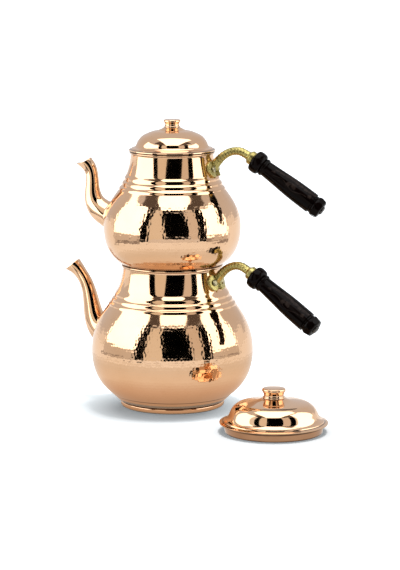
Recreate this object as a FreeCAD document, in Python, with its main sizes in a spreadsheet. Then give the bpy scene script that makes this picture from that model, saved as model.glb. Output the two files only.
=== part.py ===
import FreeCAD, Part
import math
import os

import Sketcher
from FreeCAD import Vector

# Double copper teapot: a kettle that stands on the floor, a smaller teapot that stands in the kettle's
# mouth, the teapot's lid, and the kettle's own lid lying beside the kettle.
# Millimetres. Z is up, the kettle's base stands on Z = 0 and its handle points along +X.

# Driving sizes, one sheet cell each. An angle is in degrees.
SIZES = (
    # Sheet metal, joints between pieces and clearances
    ("sheet_wall", 1.0),
    ("seat_gap", 0.05),
    ("cut_over", 4.0),
    ("foot_clearance", 0.8),
    ("collar_clearance", 0.4),
    ("rod_clearance", 0.2),
    # Kettle shell
    ("kettle_shell_high", 145.9),
    ("kettle_belly_r", 85.7),
    ("kettle_neck_r", 52.2),
    ("kettle_opening_r", 50.0),
    ("kettle_seat_wide", 4.0),
    ("kettle_crease_out", 9.6),
    ("kettle_crease_high", 7.8),
    ("kettle_bead_r", 1.5),
    ("kettle_ridge_r", 1.4),
    # Kettle base
    ("kettle_foot_out", 1.0),
    ("kettle_foot_high", 5.6),
    ("kettle_spigot_high", 4.0),
    # Kettle spout
    ("kettle_spout_out", 51.27),
    ("kettle_spout_root_high", 57.2),
    ("kettle_spout_rise", 78.3),
    ("kettle_spout_root_r", 15.2),
    ("kettle_spout_throat_r", 6.9),
    ("kettle_spout_mouth_r", 9.65),
    ("kettle_pour_hole_r", 9.0),
    # Teapot shell
    ("teapot_shell_high", 119.35),
    ("teapot_belly_r", 72.5),
    ("teapot_neck_r", 43.6),
    ("teapot_ledge_wide", 4.4),
    ("teapot_seat_over", 1.0),
    ("teapot_crease_out", 2.0),
    ("teapot_crease_high", 1.65),
    ("teapot_bead_r", 1.4),
    ("teapot_ridge_r", 1.3),
    ("teapot_turn_deg", 13.0),
    # Teapot base
    ("teapot_foot_high", 8.5),
    ("teapot_spigot_high", 4.0),
    # Teapot spout
    ("teapot_spout_out", 35.44),
    ("teapot_spout_root_high", 42.4),
    ("teapot_spout_rise", 63.8),
    ("teapot_spout_root_r", 14.6),
    ("teapot_spout_throat_r", 6.8),
    ("teapot_spout_mouth_r", 8.65),
    ("strainer_hole_r", 2.0),
    ("strainer_ring_r", 5.6),
    # Cast bracket, the same on both pots
    ("kettle_ear_drop", 15.2),
    ("teapot_ear_drop", 16.9),
    ("ear_thick", 2.6),
    ("ear_lobe_r", 8.2),
    ("ear_spread", 8.4),
    ("ear_slope_deg", 16.0),
    ("rib_wide", 3.2),
    ("rib_proud", 2.2),
    ("arm_reach", 42.5),
    ("arm_rise", 18.7),
    ("arm_r", 4.9),
    ("collar_r", 7.4),
    ("collar_long", 4.2),
    ("collar_bore_deep", 6.5),
    # Rivets
    ("rivet_r", 2.0),
    ("rivet_head_r", 3.4),
    ("rivet_head_high", 1.4),
    ("rivet_sink", 0.15),
    # Grip, rod and nut
    ("grip_rise", 10.6),
    ("grip_tilt_deg", 34.8),
    ("grip_long", 89.0),
    ("grip_bulb_r", 11.5),
    ("grip_bead_r", 9.5),
    ("grip_waist_r", 8.4),
    ("grip_barrel_r", 10.8),
    ("grip_end_r", 10.2),
    ("rod_r", 2.5),
    ("nut_r", 4.6),
    ("nut_high", 2.0),
    # Lids
    ("teapot_lid_over", 1.9),
    ("teapot_lid_high", 24.3),
    ("teapot_collar_high", 8.8),
    ("kettle_lid_over", 2.8),
    ("kettle_lid_high", 25.4),
    ("kettle_collar_high", 8.8),
    ("collar_taper", 1.4),
    ("kettle_lid_out", 154.9),
    ("kettle_lid_aside", 61.8),
    # Lid knobs and their screws
    ("teapot_knob_r", 9.0),
    ("teapot_knob_high", 8.5),
    ("kettle_knob_r", 12.0),
    ("kettle_knob_high", 10.6),
    ("screw_r", 2.0),
    ("screw_head_r", 3.8),
    ("screw_head_high", 1.6),
    ("screw_deep", 4.5),
)

# Outline of a shell above its crease, as poles of a curve: share of the swell from the crease out to the
# belly or from the neck out to the belly, and share of the height from the crease to the rim bead.
KETTLE_LOWER_SHARES = ((0.252, 0.032), (0.732, 0.108), (1.016, 0.262))
KETTLE_UPPER_SHARES = ((1.006, 0.4205), (0.807, 0.5726), (0.433, 0.701), (0.093, 0.8354), (0.006, 0.94))
TEAPOT_LOWER_SHARES = ((0.293, 0.0286), (0.776, 0.111), (1.021, 0.2662))
TEAPOT_UPPER_SHARES = ((0.998, 0.4253), (0.729, 0.5711), (0.3256, 0.6928), (0.08, 0.8401), (0.0, 0.938))
# Step between the seat and the crease: shares of the step out and of the step up.
KETTLE_STEP_SHARES = ((0.27, 0.128), (0.927, 0.897))
TEAPOT_STEP_SHARES = ()
# Three spun ridges: share of the swell from the neck, and share of the height.
KETTLE_RIDGE_SHARES = ((0.2388, 0.7709), (0.3313, 0.7335), (0.4269, 0.6955))
TEAPOT_RIDGE_SHARES = ((0.1903, 0.7584), (0.2872, 0.7137), (0.3979, 0.6664))

# Stations of a spout from its root to past its mouth: share of the reach, share of the rise, share of
# the swell from throat to root, and the angle of the way through it above the level, in degrees.
KETTLE_SPOUT_SHARES = (
    (0.0, 0.0, 1.0, 30.0),
    (0.132, 0.052, 0.96, 31.0),
    (0.261, 0.109, 0.83, 38.0),
    (0.381, 0.188, 0.65, 53.0),
    (0.463, 0.294, 0.48, 69.0),
    (0.512, 0.415, 0.325, 77.0),
    (0.553, 0.547, 0.18, 77.0),
    (0.605, 0.674, 0.06, 71.0),
    (0.685, 0.789, 0.0, 62.0),
    (0.809, 0.895, 0.01, 53.0),
    (0.9, 0.952, 0.12, 50.0),
)
TEAPOT_SPOUT_SHARES = (
    (0.0, 0.0, 1.0, 30.0),
    (0.121, 0.063, 0.93, 31.0),
    (0.31, 0.128, 0.84, 34.0),
    (0.499, 0.198, 0.72, 43.0),
    (0.635, 0.292, 0.525, 60.0),
    (0.705, 0.393, 0.345, 76.0),
    (0.731, 0.51, 0.167, 86.0),
    (0.733, 0.664, 0.026, 86.0),
    (0.77, 0.82, 0.0, 73.0),
    (0.874, 0.925, 0.09, 64.0),
)
KETTLE_MOUTH_LEAN = 53.4
TEAPOT_MOUTH_LEAN = 68.6
# How far the mouth dips between its lip and its back, the radius and length of the cylinder that cuts
# that dip, and how far the tube runs on before it is cut, all as shares of the mouth's radius.
MOUTH_DIP_SHARE = 0.21
DIP_R_SHARE = (1 + MOUTH_DIP_SHARE ** 2) / (2 * MOUTH_DIP_SHARE)
DIP_LONG_SHARE = 2.0
MOUTH_RUN_SHARE = 0.35
MOUTH_FLARE_SHARE = 1.1
ROOT_OUT_SHARE = 0.865

# Stations of the bracket's arm from the ear to the collar: share of the reach, share of the rise, share
# of the arm's thickness, and the angle of its run above the level.
ARM_SHARES = (
    (-0.01, 0.06, 1.08, 62.0),
    (0.063, 0.3, 1.04, 53.0),
    (0.15, 0.53, 0.98, 45.0),
    (0.27, 0.766, 0.94, 33.0),
    (0.418, 0.937, 0.92, 18.0),
    (0.57, 1.0, 0.92, 0.0),
    (0.72, 0.94, 0.95, -17.0),
)
ARM_FLAT_TURN = 22.5
ARM_END_SHARE = 1.35
LOBE_BRIDGE_SHARE = 0.72
RIB_HIGH_SHARE = 0.95
EAR_BLANK_SHARES = (0.6, 1.4)
KETTLE_EAR_SHARE = 0.066
TEAPOT_EAR_SHARE = 0.083
ARM_SIDES = 8

# Grip outline: share of the radius that is named with it, and share of the length.
GRIP_FACE_SHARE = 0.66
BULB_SHARES = ((0.94, 0.002), (1.04, 0.035), (1.04, 0.085), (0.98, 0.122), (0.8, 0.132))
BEAD_START_SHARES = (0.88, 0.138)
BEAD_SHARES = ((1.05, 0.142), (1.05, 0.172), (0.9, 0.18))
BARREL_START_SHARE = 0.188
BARREL_SHARES = ((0.25, 0.33), (0.86, 0.52), (1.0, 0.68), (1.0, 0.862))
GROOVE_SHARES = ((0.87, 0.87), (0.87, 0.886))
END_START_SHARES = (0.96, 0.893)
END_SHARES = ((1.06, 0.905), (1.1, 0.95), (1.02, 0.995), (0.66, 1.0))
# Eight facets round the grip's end: share of the length, and share of the end's radius at the corners.
FACET_SHARES = ((-0.1, 2.0), (0.89, 2.0), (0.9, 1.14), (1.0, 0.93), (1.05, 0.8))
FACET_SIDES = 8

# Lid outline from the flange to the seat of the knob: shares of the lid's radius and of its height.
TEAPOT_LID_SHARES = (
    (1.01, 0.08),
    (0.845, 0.12),
    (0.826, 0.34),
    (0.715, 0.64),
    (0.58, 0.75),
    (0.42, 0.88),
    (0.3, 0.88),
)
KETTLE_LID_SHARES = (
    (1.0, 0.05),
    (0.855, 0.08),
    (0.79, 0.59),
    (0.685, 0.75),
    (0.635, 0.83),
    (0.38, 0.91),
    (0.29, 0.94),
)
LID_INNER_START_SHARES = (0.985, 0.08)
KNOB_SEAT_SHARE = 1.04

# Knob outline: share of its radius and share of its height.
KNOB_FOOT_SHARE = 0.88
KNOB_BEAD_SHARES = ((0.94, 0.02), (0.94, 0.16), (0.88, 0.2))
KNOB_WAIST_SHARES = ((0.82, 0.3), (0.83, 0.52), (0.98, 0.7))
KNOB_EDGE_SHARES = ((1.02, 0.8), (1.02, 0.96), (0.86, 1.0))

# Small shares and counts of single pieces
RIGHT_ANGLE = 90.0
HALF_SHARE = 0.5
EAR_FACE_SHARE = 1.04
RIVET_DOME_SHARES = (0.6, 0.45)
NUT_BORE_SHARE = 0.6
NUT_SIDE_SHARE = 0.35
NUT_DOME_SHARES = (0.85, 0.7)
SCREW_HEAD_SHARE = 0.7
HOLE_LONG_SHARE = 1.6
RING_HOLES = 6


class Size:
    """A length with its value now and the sheet expression that gives it."""

    def __init__(self, value, text):
        self.value = value
        self.text = text

    def __add__(self, other):
        return Size(self.value + other.value, f"({self.text} + {other.text})")

    def __sub__(self, other):
        return Size(self.value - other.value, f"({self.text} - {other.text})")

    def __mul__(self, share):
        return Size(self.value * share, f"({self.text} * {float(share)!r})")


VALUES = dict(SIZES)
ZERO = Size(0.0, "0")


def named(name):
    return Size(VALUES[name], "sizes." + name)


doc = FreeCAD.newDocument("double_teapot")
sheet = doc.addObject("Spreadsheet::Sheet", "sizes")
for row, (alias, value) in enumerate(SIZES, start=1):
    sheet.set(f"A{row}", alias)
    sheet.set(f"B{row}", repr(value))
    sheet.setAlias(f"B{row}", alias)
doc.recompute()

nodes = {}


# Outlines

def flat(point):
    return Vector(point[0].value, point[1].value, 0)


def pin(sketch, curve, end, point):
    """Hold one end or centre of a sketch curve at a point given in named sizes."""
    for kind, length, axis in (("DistanceX", point[0], -2), ("DistanceY", point[1], -1)):
        if length is ZERO:
            sketch.addConstraint(Sketcher.Constraint("PointOnObject", curve, end, axis))
        else:
            sketch.addConstraint(Sketcher.Constraint(kind, -1, 1, curve, end, length.value))
            sketch.setExpression(f"Constraints[{sketch.ConstraintCount - 1}]", length.text)


def smooth_curve(sketch, points):
    """A smooth curve drawn towards the poles, each held by its own construction circle."""
    spline = Part.BSplineCurve()
    spans = len(points) - 3
    knots = [float(knot) for knot in range(spans + 1)]
    repeats = [4] + [1] * (spans - 1) + [4]
    spline.buildFromPolesMultsKnots([flat(point) for point in points], repeats, knots, False, 3)
    curve = sketch.addGeometry(spline)
    for place, pole in enumerate(points[1:-1], start=1):
        ring = sketch.addGeometry(Part.Circle(flat(pole), Vector(0, 0, 1), 1), True)
        holds = "InternalAlignment:Sketcher::BSplineControlPoint"
        sketch.addConstraint(Sketcher.Constraint(holds, ring, 3, curve, place))
        sketch.addConstraint(Sketcher.Constraint("Weight", ring, 1.0))
        pin(sketch, ring, 3, pole)
    return curve


def closed_outline(sketch, start, steps):
    """A step of one point is a straight line to it. A longer step is a curve over its poles."""
    here = start
    curves = []
    for step in steps:
        if len(step) == 1:
            curve = sketch.addGeometry(Part.LineSegment(flat(here), flat(step[0])))
        else:
            curve = smooth_curve(sketch, [here] + list(step))
        pin(sketch, curve, 1, here)
        curves.append(curve)
        here = step[-1]
    for before, after in zip(curves, curves[1:] + curves[:1]):
        sketch.addConstraint(Sketcher.Constraint("Coincident", before, 2, after, 1))


def sketch_in(body, name):
    """A sketch on the body's own upright plane through the axis."""
    sketch = body.newObject("Sketcher::SketchObject", name)
    plane = [feature for feature in body.Origin.OriginFeatures if feature.Role == "XZ_Plane"][0]
    sketch.AttachmentSupport = [(plane, "")]
    sketch.MapMode = "FlatFace"
    return sketch


def turn_sketch(body, name, sketch, kind):
    doc.recompute()
    before = body.Shape.Volume if body.Tip else 0
    feature = body.newObject(kind, name)
    feature.Profile = sketch
    feature.ReferenceAxis = (sketch, ["V_Axis"])
    body.Tip = feature
    doc.recompute()
    if (body.Shape.Volume < before) != (kind == "PartDesign::Groove"):
        raise RuntimeError(name + " did not change its piece as it should")


def turned(body, name, start, steps, kind="PartDesign::Revolution"):
    """Turn a closed outline about the body's upright axis, to add metal or to take it away."""
    sketch = sketch_in(body, name + "_outline")
    closed_outline(sketch, start, steps)
    turn_sketch(body, name, sketch, kind)


def turned_rings(body, name, centres, ring_r):
    """Round rings about the body's axis, each centred on a point of the outline."""
    sketch = sketch_in(body, name + "_outline")
    for centre in centres:
        circle = sketch.addGeometry(Part.Circle(flat(centre), Vector(0, 0, 1), ring_r.value))
        pin(sketch, circle, 3, centre)
        sketch.addConstraint(Sketcher.Constraint("Radius", circle, ring_r.value))
        sketch.setExpression(f"Constraints[{sketch.ConstraintCount - 1}]", ring_r.text)
    turn_sketch(body, name, sketch, "PartDesign::Revolution")


def new_body(name):
    return doc.addObject("PartDesign::Body", name)


def turned_body(name, start, steps):
    body = new_body(name)
    turned(body, name + "_turned", start, steps)
    return body


def inset(points, depth):
    """Move a chain of points sideways by a depth, to the left of the way that the chain runs."""
    moved = []
    last = len(points) - 1
    for place, (across, up) in enumerate(points):
        sides = []
        for before, after in ((place - 1, place), (place, place + 1)):
            if before < 0 or after > last:
                continue
            run_across = points[after][0].value - points[before][0].value
            run_up = points[after][1].value - points[before][1].value
            run = math.hypot(run_across, run_up)
            sides.append((-run_up / run, run_across / run))
        first = sides[0]
        second = sides[-1]
        both = 1 + first[0] * second[0] + first[1] * second[1]
        across_share = (first[0] + second[0]) / both
        up_share = (first[1] + second[1]) / both
        moved.append((across + depth * across_share, up + depth * up_share))
    return moved


# Placement and joining

def placing(out, up, aside=ZERO, lean="0", turn="0", along=ZERO, spin="0", off_across=ZERO, off_up=ZERO):
    """Sheet expression of a place: local shift and spin, lean about Y, shift, turn about the pot's axis."""
    rotation = "create(<<rotation>>; create(<<vector>>; {}; {}; {}); {})"
    move = "create(<<placement>>; create(<<vector>>; {}; {}; {}); {})"
    turning = move.format(0, 0, 0, rotation.format(0, 0, 1, turn))
    shifting = move.format(out.text, aside.text, up.text, rotation.format(0, 1, 0, lean))
    local = move.format(off_across.text, off_up.text, along.text, rotation.format(0, 0, 1, spin))
    return f"{turning} * {shifting} * {local}"


def lying_across(out, up, half_long):
    """Sheet expression that lays a cylinder along Y, centred on the pot's upright middle plane."""
    return (
        f"create(<<placement>>; create(<<vector>>; {out.text}; 0 - {half_long.text}; {up.text});"
        " create(<<rotation>>; create(<<vector>>; 1; 0; 0); -90))"
    )


def cylinder(name, radius, height, place):
    piece = doc.addObject("Part::Cylinder", name)
    piece.setExpression("Radius", radius.text)
    piece.setExpression("Height", height.text)
    piece.setExpression("Placement", place)
    return piece


def box(name, long, wide, high, place):
    piece = doc.addObject("Part::Box", name)
    piece.setExpression("Length", long.text)
    piece.setExpression("Width", wide.text)
    piece.setExpression("Height", high.text)
    piece.setExpression("Placement", place)
    return piece


def circle(name, radius, place):
    piece = doc.addObject("Part::Circle", name)
    piece.setExpression("Radius", radius.text)
    piece.setExpression("Placement", place)
    return piece


def polygon(name, sides, corner_r, place):
    piece = doc.addObject("Part::RegularPolygon", name)
    piece.Polygon = sides
    piece.setExpression("Circumradius", corner_r.text)
    piece.setExpression("Placement", place)
    return piece


def lofted(name, sections, ruled=False):
    piece = doc.addObject("Part::Loft", name)
    piece.Sections = sections
    piece.Solid = True
    piece.Ruled = ruled
    return piece


def cut(name, base, tool):
    piece = doc.addObject("Part::Cut", name)
    piece.Base = base
    piece.Tool = tool
    return piece


def common(name, base, tool):
    piece = doc.addObject("Part::Common", name)
    piece.Base = base
    piece.Tool = tool
    return piece


def joined(name, pieces):
    piece = doc.addObject("Part::MultiFuse", name)
    piece.Shapes = pieces
    return piece


def keep(node, thing, place=None):
    if place:
        thing.setExpression("Placement", place)
    thing.Label = node
    nodes[node] = thing


# Sizes that several pieces share

wall = named("sheet_wall")
over = named("cut_over")
seat_gap = named("seat_gap")
rivet_r = named("rivet_r")
rod_r = named("rod_r")
screw_r = named("screw_r")
ear_thick = named("ear_thick")
lobe_r = named("ear_lobe_r")
spread = named("ear_spread")
kettle_low = named("kettle_foot_high")
kettle_rim = kettle_low + named("kettle_shell_high")
teapot_low = kettle_rim + seat_gap


class Pot:
    """One pot: the outline of its shell, and where its spout and its handle stand."""

    def __init__(self, name, low, turn, opening, seat, shares, ear_share):
        lower, upper, step, ridges = shares
        self.name = name
        self.low = low
        self.turn = turn
        self.belly = self.size("belly_r")
        self.neck = self.size("neck_r")
        self.bead = self.size("bead_r")
        self.opening = opening
        self.seat = seat
        self.mouth = self.neck - wall
        self.rim = low + self.size("shell_high")
        self.top = self.rim - self.bead
        crease = seat + self.size("crease_out")
        crease_up = low + self.size("crease_high")
        rise = self.top - crease_up
        draw_in = self.belly - self.neck
        self.corners = [(self.opening, low), (seat, low)]
        self.corners += [
            (seat + (crease - seat) * out, low + self.size("crease_high") * up) for out, up in step
        ]
        self.corners.append((crease, crease_up))
        self.poles = [(crease + (self.belly - crease) * out, crease_up + rise * up) for out, up in lower]
        self.poles += [(self.neck + draw_in * out, crease_up + rise * up) for out, up in upper]
        self.poles.append((self.neck, self.top))
        self.ridges = [(self.neck + draw_in * out, crease_up + rise * up) for out, up in ridges]
        self.ear_out = self.neck + draw_in * ear_share
        self.ear_up = self.rim - self.size("ear_drop")

    def size(self, name):
        return named(f"{self.name}_{name}")

    def filled(self, body, name, outset):
        """A filled solid whose skin stands a set depth outside the shell."""
        chain = self.corners + self.poles
        if outset is not ZERO:
            chain = inset(chain, ZERO - outset)
        count = len(self.corners)
        steps = [[point] for point in chain[1:count]]
        steps += [chain[count:], [(ZERO, chain[-1][1])], [(ZERO, chain[0][1])]]
        turned(body, name, (ZERO, chain[0][1]), steps)


def make_rivets(pot, kind, turn):
    """Two rivets, square to the leaning ear, with a round head outside and a closed end inside."""
    head_r = named("rivet_head_r")
    head_high = named("rivet_head_high")
    sink = named("rivet_sink")
    shank = ear_thick + wall - sink - sink
    head_up = head_high + shank
    face_out = pot.ear_out + ear_thick * EAR_FACE_SHARE
    back = ZERO - (head_high + shank + sink)
    side_angle = f"asin({spread.text} / {face_out.text}) / 1 deg"
    rivets = []
    for side, sign in (("left", "+"), ("right", "-")):
        body = turned_body(
            f"{pot.name}_{kind}_{side}",
            (ZERO, ZERO),
            [
                [(head_r * RIVET_DOME_SHARES[0], ZERO)],
                [(head_r, head_high * RIVET_DOME_SHARES[1])],
                [(head_r, head_high)],
                [(rivet_r, head_high)],
                [(rivet_r, head_up)],
                [(head_r, head_up)],
                [(head_r, head_up + head_high - head_high * RIVET_DOME_SHARES[1])],
                [(head_r * RIVET_DOME_SHARES[0], head_up + head_high)],
                [(ZERO, head_up + head_high)],
                [(ZERO, ZERO)],
            ],
        )
        place = placing(
            face_out, pot.ear_up,
            lean="90 - sizes.ear_slope_deg", turn=f"{turn} {sign} {side_angle}", along=back,
        )
        body.setExpression("Placement", place)
        rivets.append(body)
    return rivets


def make_shell(pot, holes):
    """Spun shell: filled outline, three ridges and a rolled rim, then hollowed to the sheet's thickness."""
    body = new_body(pot.name + "_spun")
    pot.filled(body, pot.name + "_skin", ZERO)
    turned_rings(body, pot.name + "_ridges", pot.ridges, pot.size("ridge_r"))
    turned_rings(body, pot.name + "_rim", [(pot.neck, pot.top)], pot.bead)
    inner = inset(pot.corners + pot.poles, wall)
    count = len(pot.corners)
    under = pot.low - over
    above = pot.rim + over
    steps = [[(pot.opening, under)], [inner[0]]]
    steps += [[point] for point in inner[1:count]]
    steps += [inner[count:], [(pot.mouth, above)], [(ZERO, above)], [(ZERO, under)]]
    turned(body, pot.name + "_hollow", (ZERO, under), steps, "PartDesign::Groove")
    keep(pot.name + "_body", cut(pot.name + "_shell", body, joined(pot.name + "_holes", holes)), pot.facing)


def make_base(pot, foot_r, foot_high, top_r, low):
    """Base pan: flat floor, foot band, and a spigot let into the shell's turned-in bottom."""
    edge = wall
    spigot_up = low + foot_high + pot.size("spigot_high")
    shoulder = low + foot_high
    inside = pot.opening - wall
    floor = low + wall
    body = turned_body(
        pot.name + "_pan",
        (ZERO, low),
        [
            [(foot_r - edge, low)],
            [(foot_r, low + edge)],
            [(foot_r, shoulder - edge)],
            [(top_r, shoulder)],
            [(pot.opening, shoulder)],
            [(pot.opening, spigot_up)],
            [(inside, spigot_up)],
            [(inside, shoulder - wall)],
            [(foot_r - wall, shoulder - wall)],
            [(foot_r - wall, floor)],
            [(ZERO, floor)],
            [(ZERO, low)],
        ],
    )
    keep(pot.name + "_base", body)


def root_of_spout(pot):
    return pot.belly * ROOT_OUT_SHARE, pot.low + pot.size("spout_root_high")


def make_spout(pot, skin, stations, mouth_lean):
    """Curved hollow spout: round sections along its way, seated on the belly, mouth cut to a dip."""
    root_out, root_up = root_of_spout(pot)
    run_out = pot.size("spout_out")
    rise = pot.size("spout_rise")
    root_r = pot.size("spout_root_r")
    throat_r = pot.size("spout_throat_r")
    mouth_r = pot.size("spout_mouth_r")
    rings = [
        (root_out + run_out * out, root_up + rise * up, throat_r + (root_r - throat_r) * swell, lean)
        for out, up, swell, lean in stations
    ]
    way_out = math.cos(math.radians(mouth_lean))
    way_up = math.sin(math.radians(mouth_lean))
    mouth_out = root_out + run_out
    mouth_up = root_up + rise
    rings.append((mouth_out, mouth_up, mouth_r, mouth_lean))
    past = mouth_r * MOUTH_RUN_SHARE
    rings.append(
        (mouth_out + past * way_out, mouth_up + past * way_up, mouth_r * MOUTH_FLARE_SHARE, mouth_lean)
    )
    tubes = []
    for part, thinner in (("outer", ZERO), ("bore", wall)):
        sections = [
            circle(
                f"{pot.name}_spout_{part}_{place}",
                radius - thinner,
                placing(ZERO - out, up, lean=repr(lean - RIGHT_ANGLE)),
            )
            for place, (out, up, radius, lean) in enumerate(rings)
        ]
        tubes.append(lofted(f"{pot.name}_spout_{part}", sections))
    cutter_r = mouth_r * DIP_R_SHARE
    centre_run = cutter_r - mouth_r * MOUTH_DIP_SHARE
    half_long = mouth_r * DIP_LONG_SHARE
    mouth_cutter = cylinder(
        pot.name + "_mouth_cutter",
        cutter_r,
        half_long + half_long,
        lying_across(
            ZERO - (mouth_out + centre_run * way_out), mouth_up + centre_run * way_up, half_long
        ),
    )
    tube = cut(pot.name + "_spout_tube", tubes[0], tubes[1])
    seated = cut(pot.name + "_spout_seated", tube, skin)
    keep(pot.name + "_spout", cut(pot.name + "_spout_open", seated, mouth_cutter), pot.facing)


def make_bracket(pot, skin, rivets):
    """Cast bracket: two-lobed ear laid on the neck, middle rib, arched arm, collar and bore for the rod."""
    name = pot.name
    blank_from = pot.neck * EAR_BLANK_SHARES[0]
    blank_long = pot.neck * (EAR_BLANK_SHARES[1] - EAR_BLANK_SHARES[0])
    lobes = [
        cylinder(
            f"{name}_lobe_{side}", lobe_r, blank_long, placing(blank_from, pot.ear_up, aside=aside, lean="90")
        )
        for side, aside in (("left", spread), ("right", ZERO - spread))
    ]
    half_bridge = lobe_r * LOBE_BRIDGE_SHARE
    bridge = box(
        name + "_bridge", blank_long, spread + spread, half_bridge + half_bridge,
        placing(blank_from, pot.ear_up - half_bridge, aside=ZERO - spread),
    )
    ear_skin = new_body(name + "_ear_skin")
    pot.filled(ear_skin, name + "_ear_skin_turned", ear_thick)
    ear = common(name + "_ear", joined(name + "_ear_blank", lobes + [bridge]), ear_skin)
    half_rib = lobe_r * RIB_HIGH_SHARE
    rib_wide = named("rib_wide")
    rib_blank = box(
        name + "_rib_blank", blank_long, rib_wide, half_rib + half_rib,
        placing(blank_from, pot.ear_up - half_rib, aside=ZERO - rib_wide * HALF_SHARE),
    )
    rib_skin = new_body(name + "_rib_skin")
    pot.filled(rib_skin, name + "_rib_skin_turned", ear_thick + named("rib_proud"))
    rib = common(name + "_rib", rib_blank, rib_skin)
    reach = named("arm_reach")
    rise = named("arm_rise")
    arm_r = named("arm_r")
    collar_long = named("collar_long")
    arm_sections = [
        polygon(
            f"{name}_arm_{place}", ARM_SIDES, arm_r * thick,
            placing(
                pot.ear_out + reach * out, pot.ear_up + rise * up,
                lean=repr(RIGHT_ANGLE - lean), spin=repr(ARM_FLAT_TURN),
            ),
        )
        for place, (out, up, thick, lean) in enumerate(ARM_SHARES)
    ]
    arm_sections.append(
        polygon(
            name + "_arm_end", ARM_SIDES, arm_r,
            on_grip(pot, ZERO - collar_long * ARM_END_SHARE, spin=repr(ARM_FLAT_TURN)),
        )
    )
    arm = lofted(name + "_arm", arm_sections)
    collar = cylinder(
        name + "_collar", named("collar_r"), collar_long, on_grip(pot, ZERO - collar_long)
    )
    flare = doc.addObject("Part::Cone", name + "_collar_flare")
    flare.setExpression("Radius1", arm_r.text)
    flare.setExpression("Radius2", named("collar_r").text)
    flare.setExpression("Height", (collar_long * HALF_SHARE).text)
    flare.setExpression("Placement", on_grip(pot, ZERO - collar_long - collar_long * HALF_SHARE))
    bore_deep = named("collar_bore_deep")
    bore = cylinder(name + "_rod_bore", rod_r, bore_deep + over, on_grip(pot, ZERO - bore_deep))
    casting = joined(name + "_casting", [ear, rib, arm, collar, flare])
    on_neck = cut(name + "_casting_on_neck", casting, skin)
    tools = joined(name + "_casting_holes", [bore] + rivets)
    keep(name + "_bracket", cut(name + "_bracket_drilled", on_neck, tools), pot.facing)


def on_grip(pot, along, turn="0", spin="0"):
    """Sheet expression of a place on the grip's axis, at a distance past the collar's face."""
    return placing(
        pot.ear_out + named("arm_reach"), pot.ear_up + named("grip_rise"),
        lean="90 + sizes.grip_tilt_deg", turn=turn, along=along, spin=spin,
    )


def make_grip(pot):
    """Turned wooden grip on a rod, with a round nut on the rod's end."""
    long = named("grip_long")
    bulb = named("grip_bulb_r")
    bead = named("grip_bead_r")
    waist = named("grip_waist_r")
    swell = named("grip_barrel_r") - waist
    end = named("grip_end_r")
    bore = rod_r + named("rod_clearance")

    def along(radius, shares):
        return [(radius * out, long * up) for out, up in shares]

    turned_grip = turned_body(
        pot.name + "_grip_turned_body",
        (bore, ZERO),
        [
            [(bulb * GRIP_FACE_SHARE, ZERO)],
            along(bulb, BULB_SHARES),
            along(bead, [BEAD_START_SHARES]),
            along(bead, BEAD_SHARES),
            [(waist, long * BARREL_START_SHARE)],
            [(waist + swell * out, long * up) for out, up in BARREL_SHARES],
            along(named("grip_barrel_r"), GROOVE_SHARES[:1]),
            along(named("grip_barrel_r"), GROOVE_SHARES[1:]),
            along(end, [END_START_SHARES]),
            along(end, END_SHARES),
            [(bore, long)],
            [(bore, ZERO)],
        ],
    )
    facets = lofted(
        pot.name + "_grip_facets",
        [
            polygon(f"{pot.name}_facet_{place}", FACET_SIDES, end * corner, placing(ZERO, long * up))
            for place, (up, corner) in enumerate(FACET_SHARES)
        ],
        ruled=True,
    )
    keep(
        pot.name + "_grip",
        common(pot.name + "_grip_facetted", turned_grip, facets),
        on_grip(pot, ZERO, pot.turn),
    )
    bore_deep = named("collar_bore_deep")
    nut_r = named("nut_r")
    nut_high = named("nut_high")
    nut_bore = nut_high * NUT_BORE_SHARE
    rod = turned_body(
        pot.name + "_rod_turned",
        (ZERO, ZERO),
        [
            [(rod_r, ZERO)],
            [(rod_r, bore_deep + long + nut_bore)],
            [(ZERO, bore_deep + long + nut_bore)],
            [(ZERO, ZERO)],
        ],
    )
    keep(pot.name + "_grip_rod", rod, on_grip(pot, ZERO - bore_deep, pot.turn))
    nut = turned_body(
        pot.name + "_nut_turned",
        (rod_r, ZERO),
        [
            [(nut_r, ZERO)],
            [(nut_r, nut_high * NUT_SIDE_SHARE)],
            [
                (nut_r, nut_high * NUT_DOME_SHARES[0]),
                (nut_r * NUT_DOME_SHARES[1], nut_high),
                (ZERO, nut_high),
            ],
            [(ZERO, nut_bore)],
            [(rod_r, nut_bore)],
            [(rod_r, ZERO)],
        ],
    )
    keep(pot.name + "_grip_nut", nut, on_grip(pot, long, pot.turn))


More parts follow.
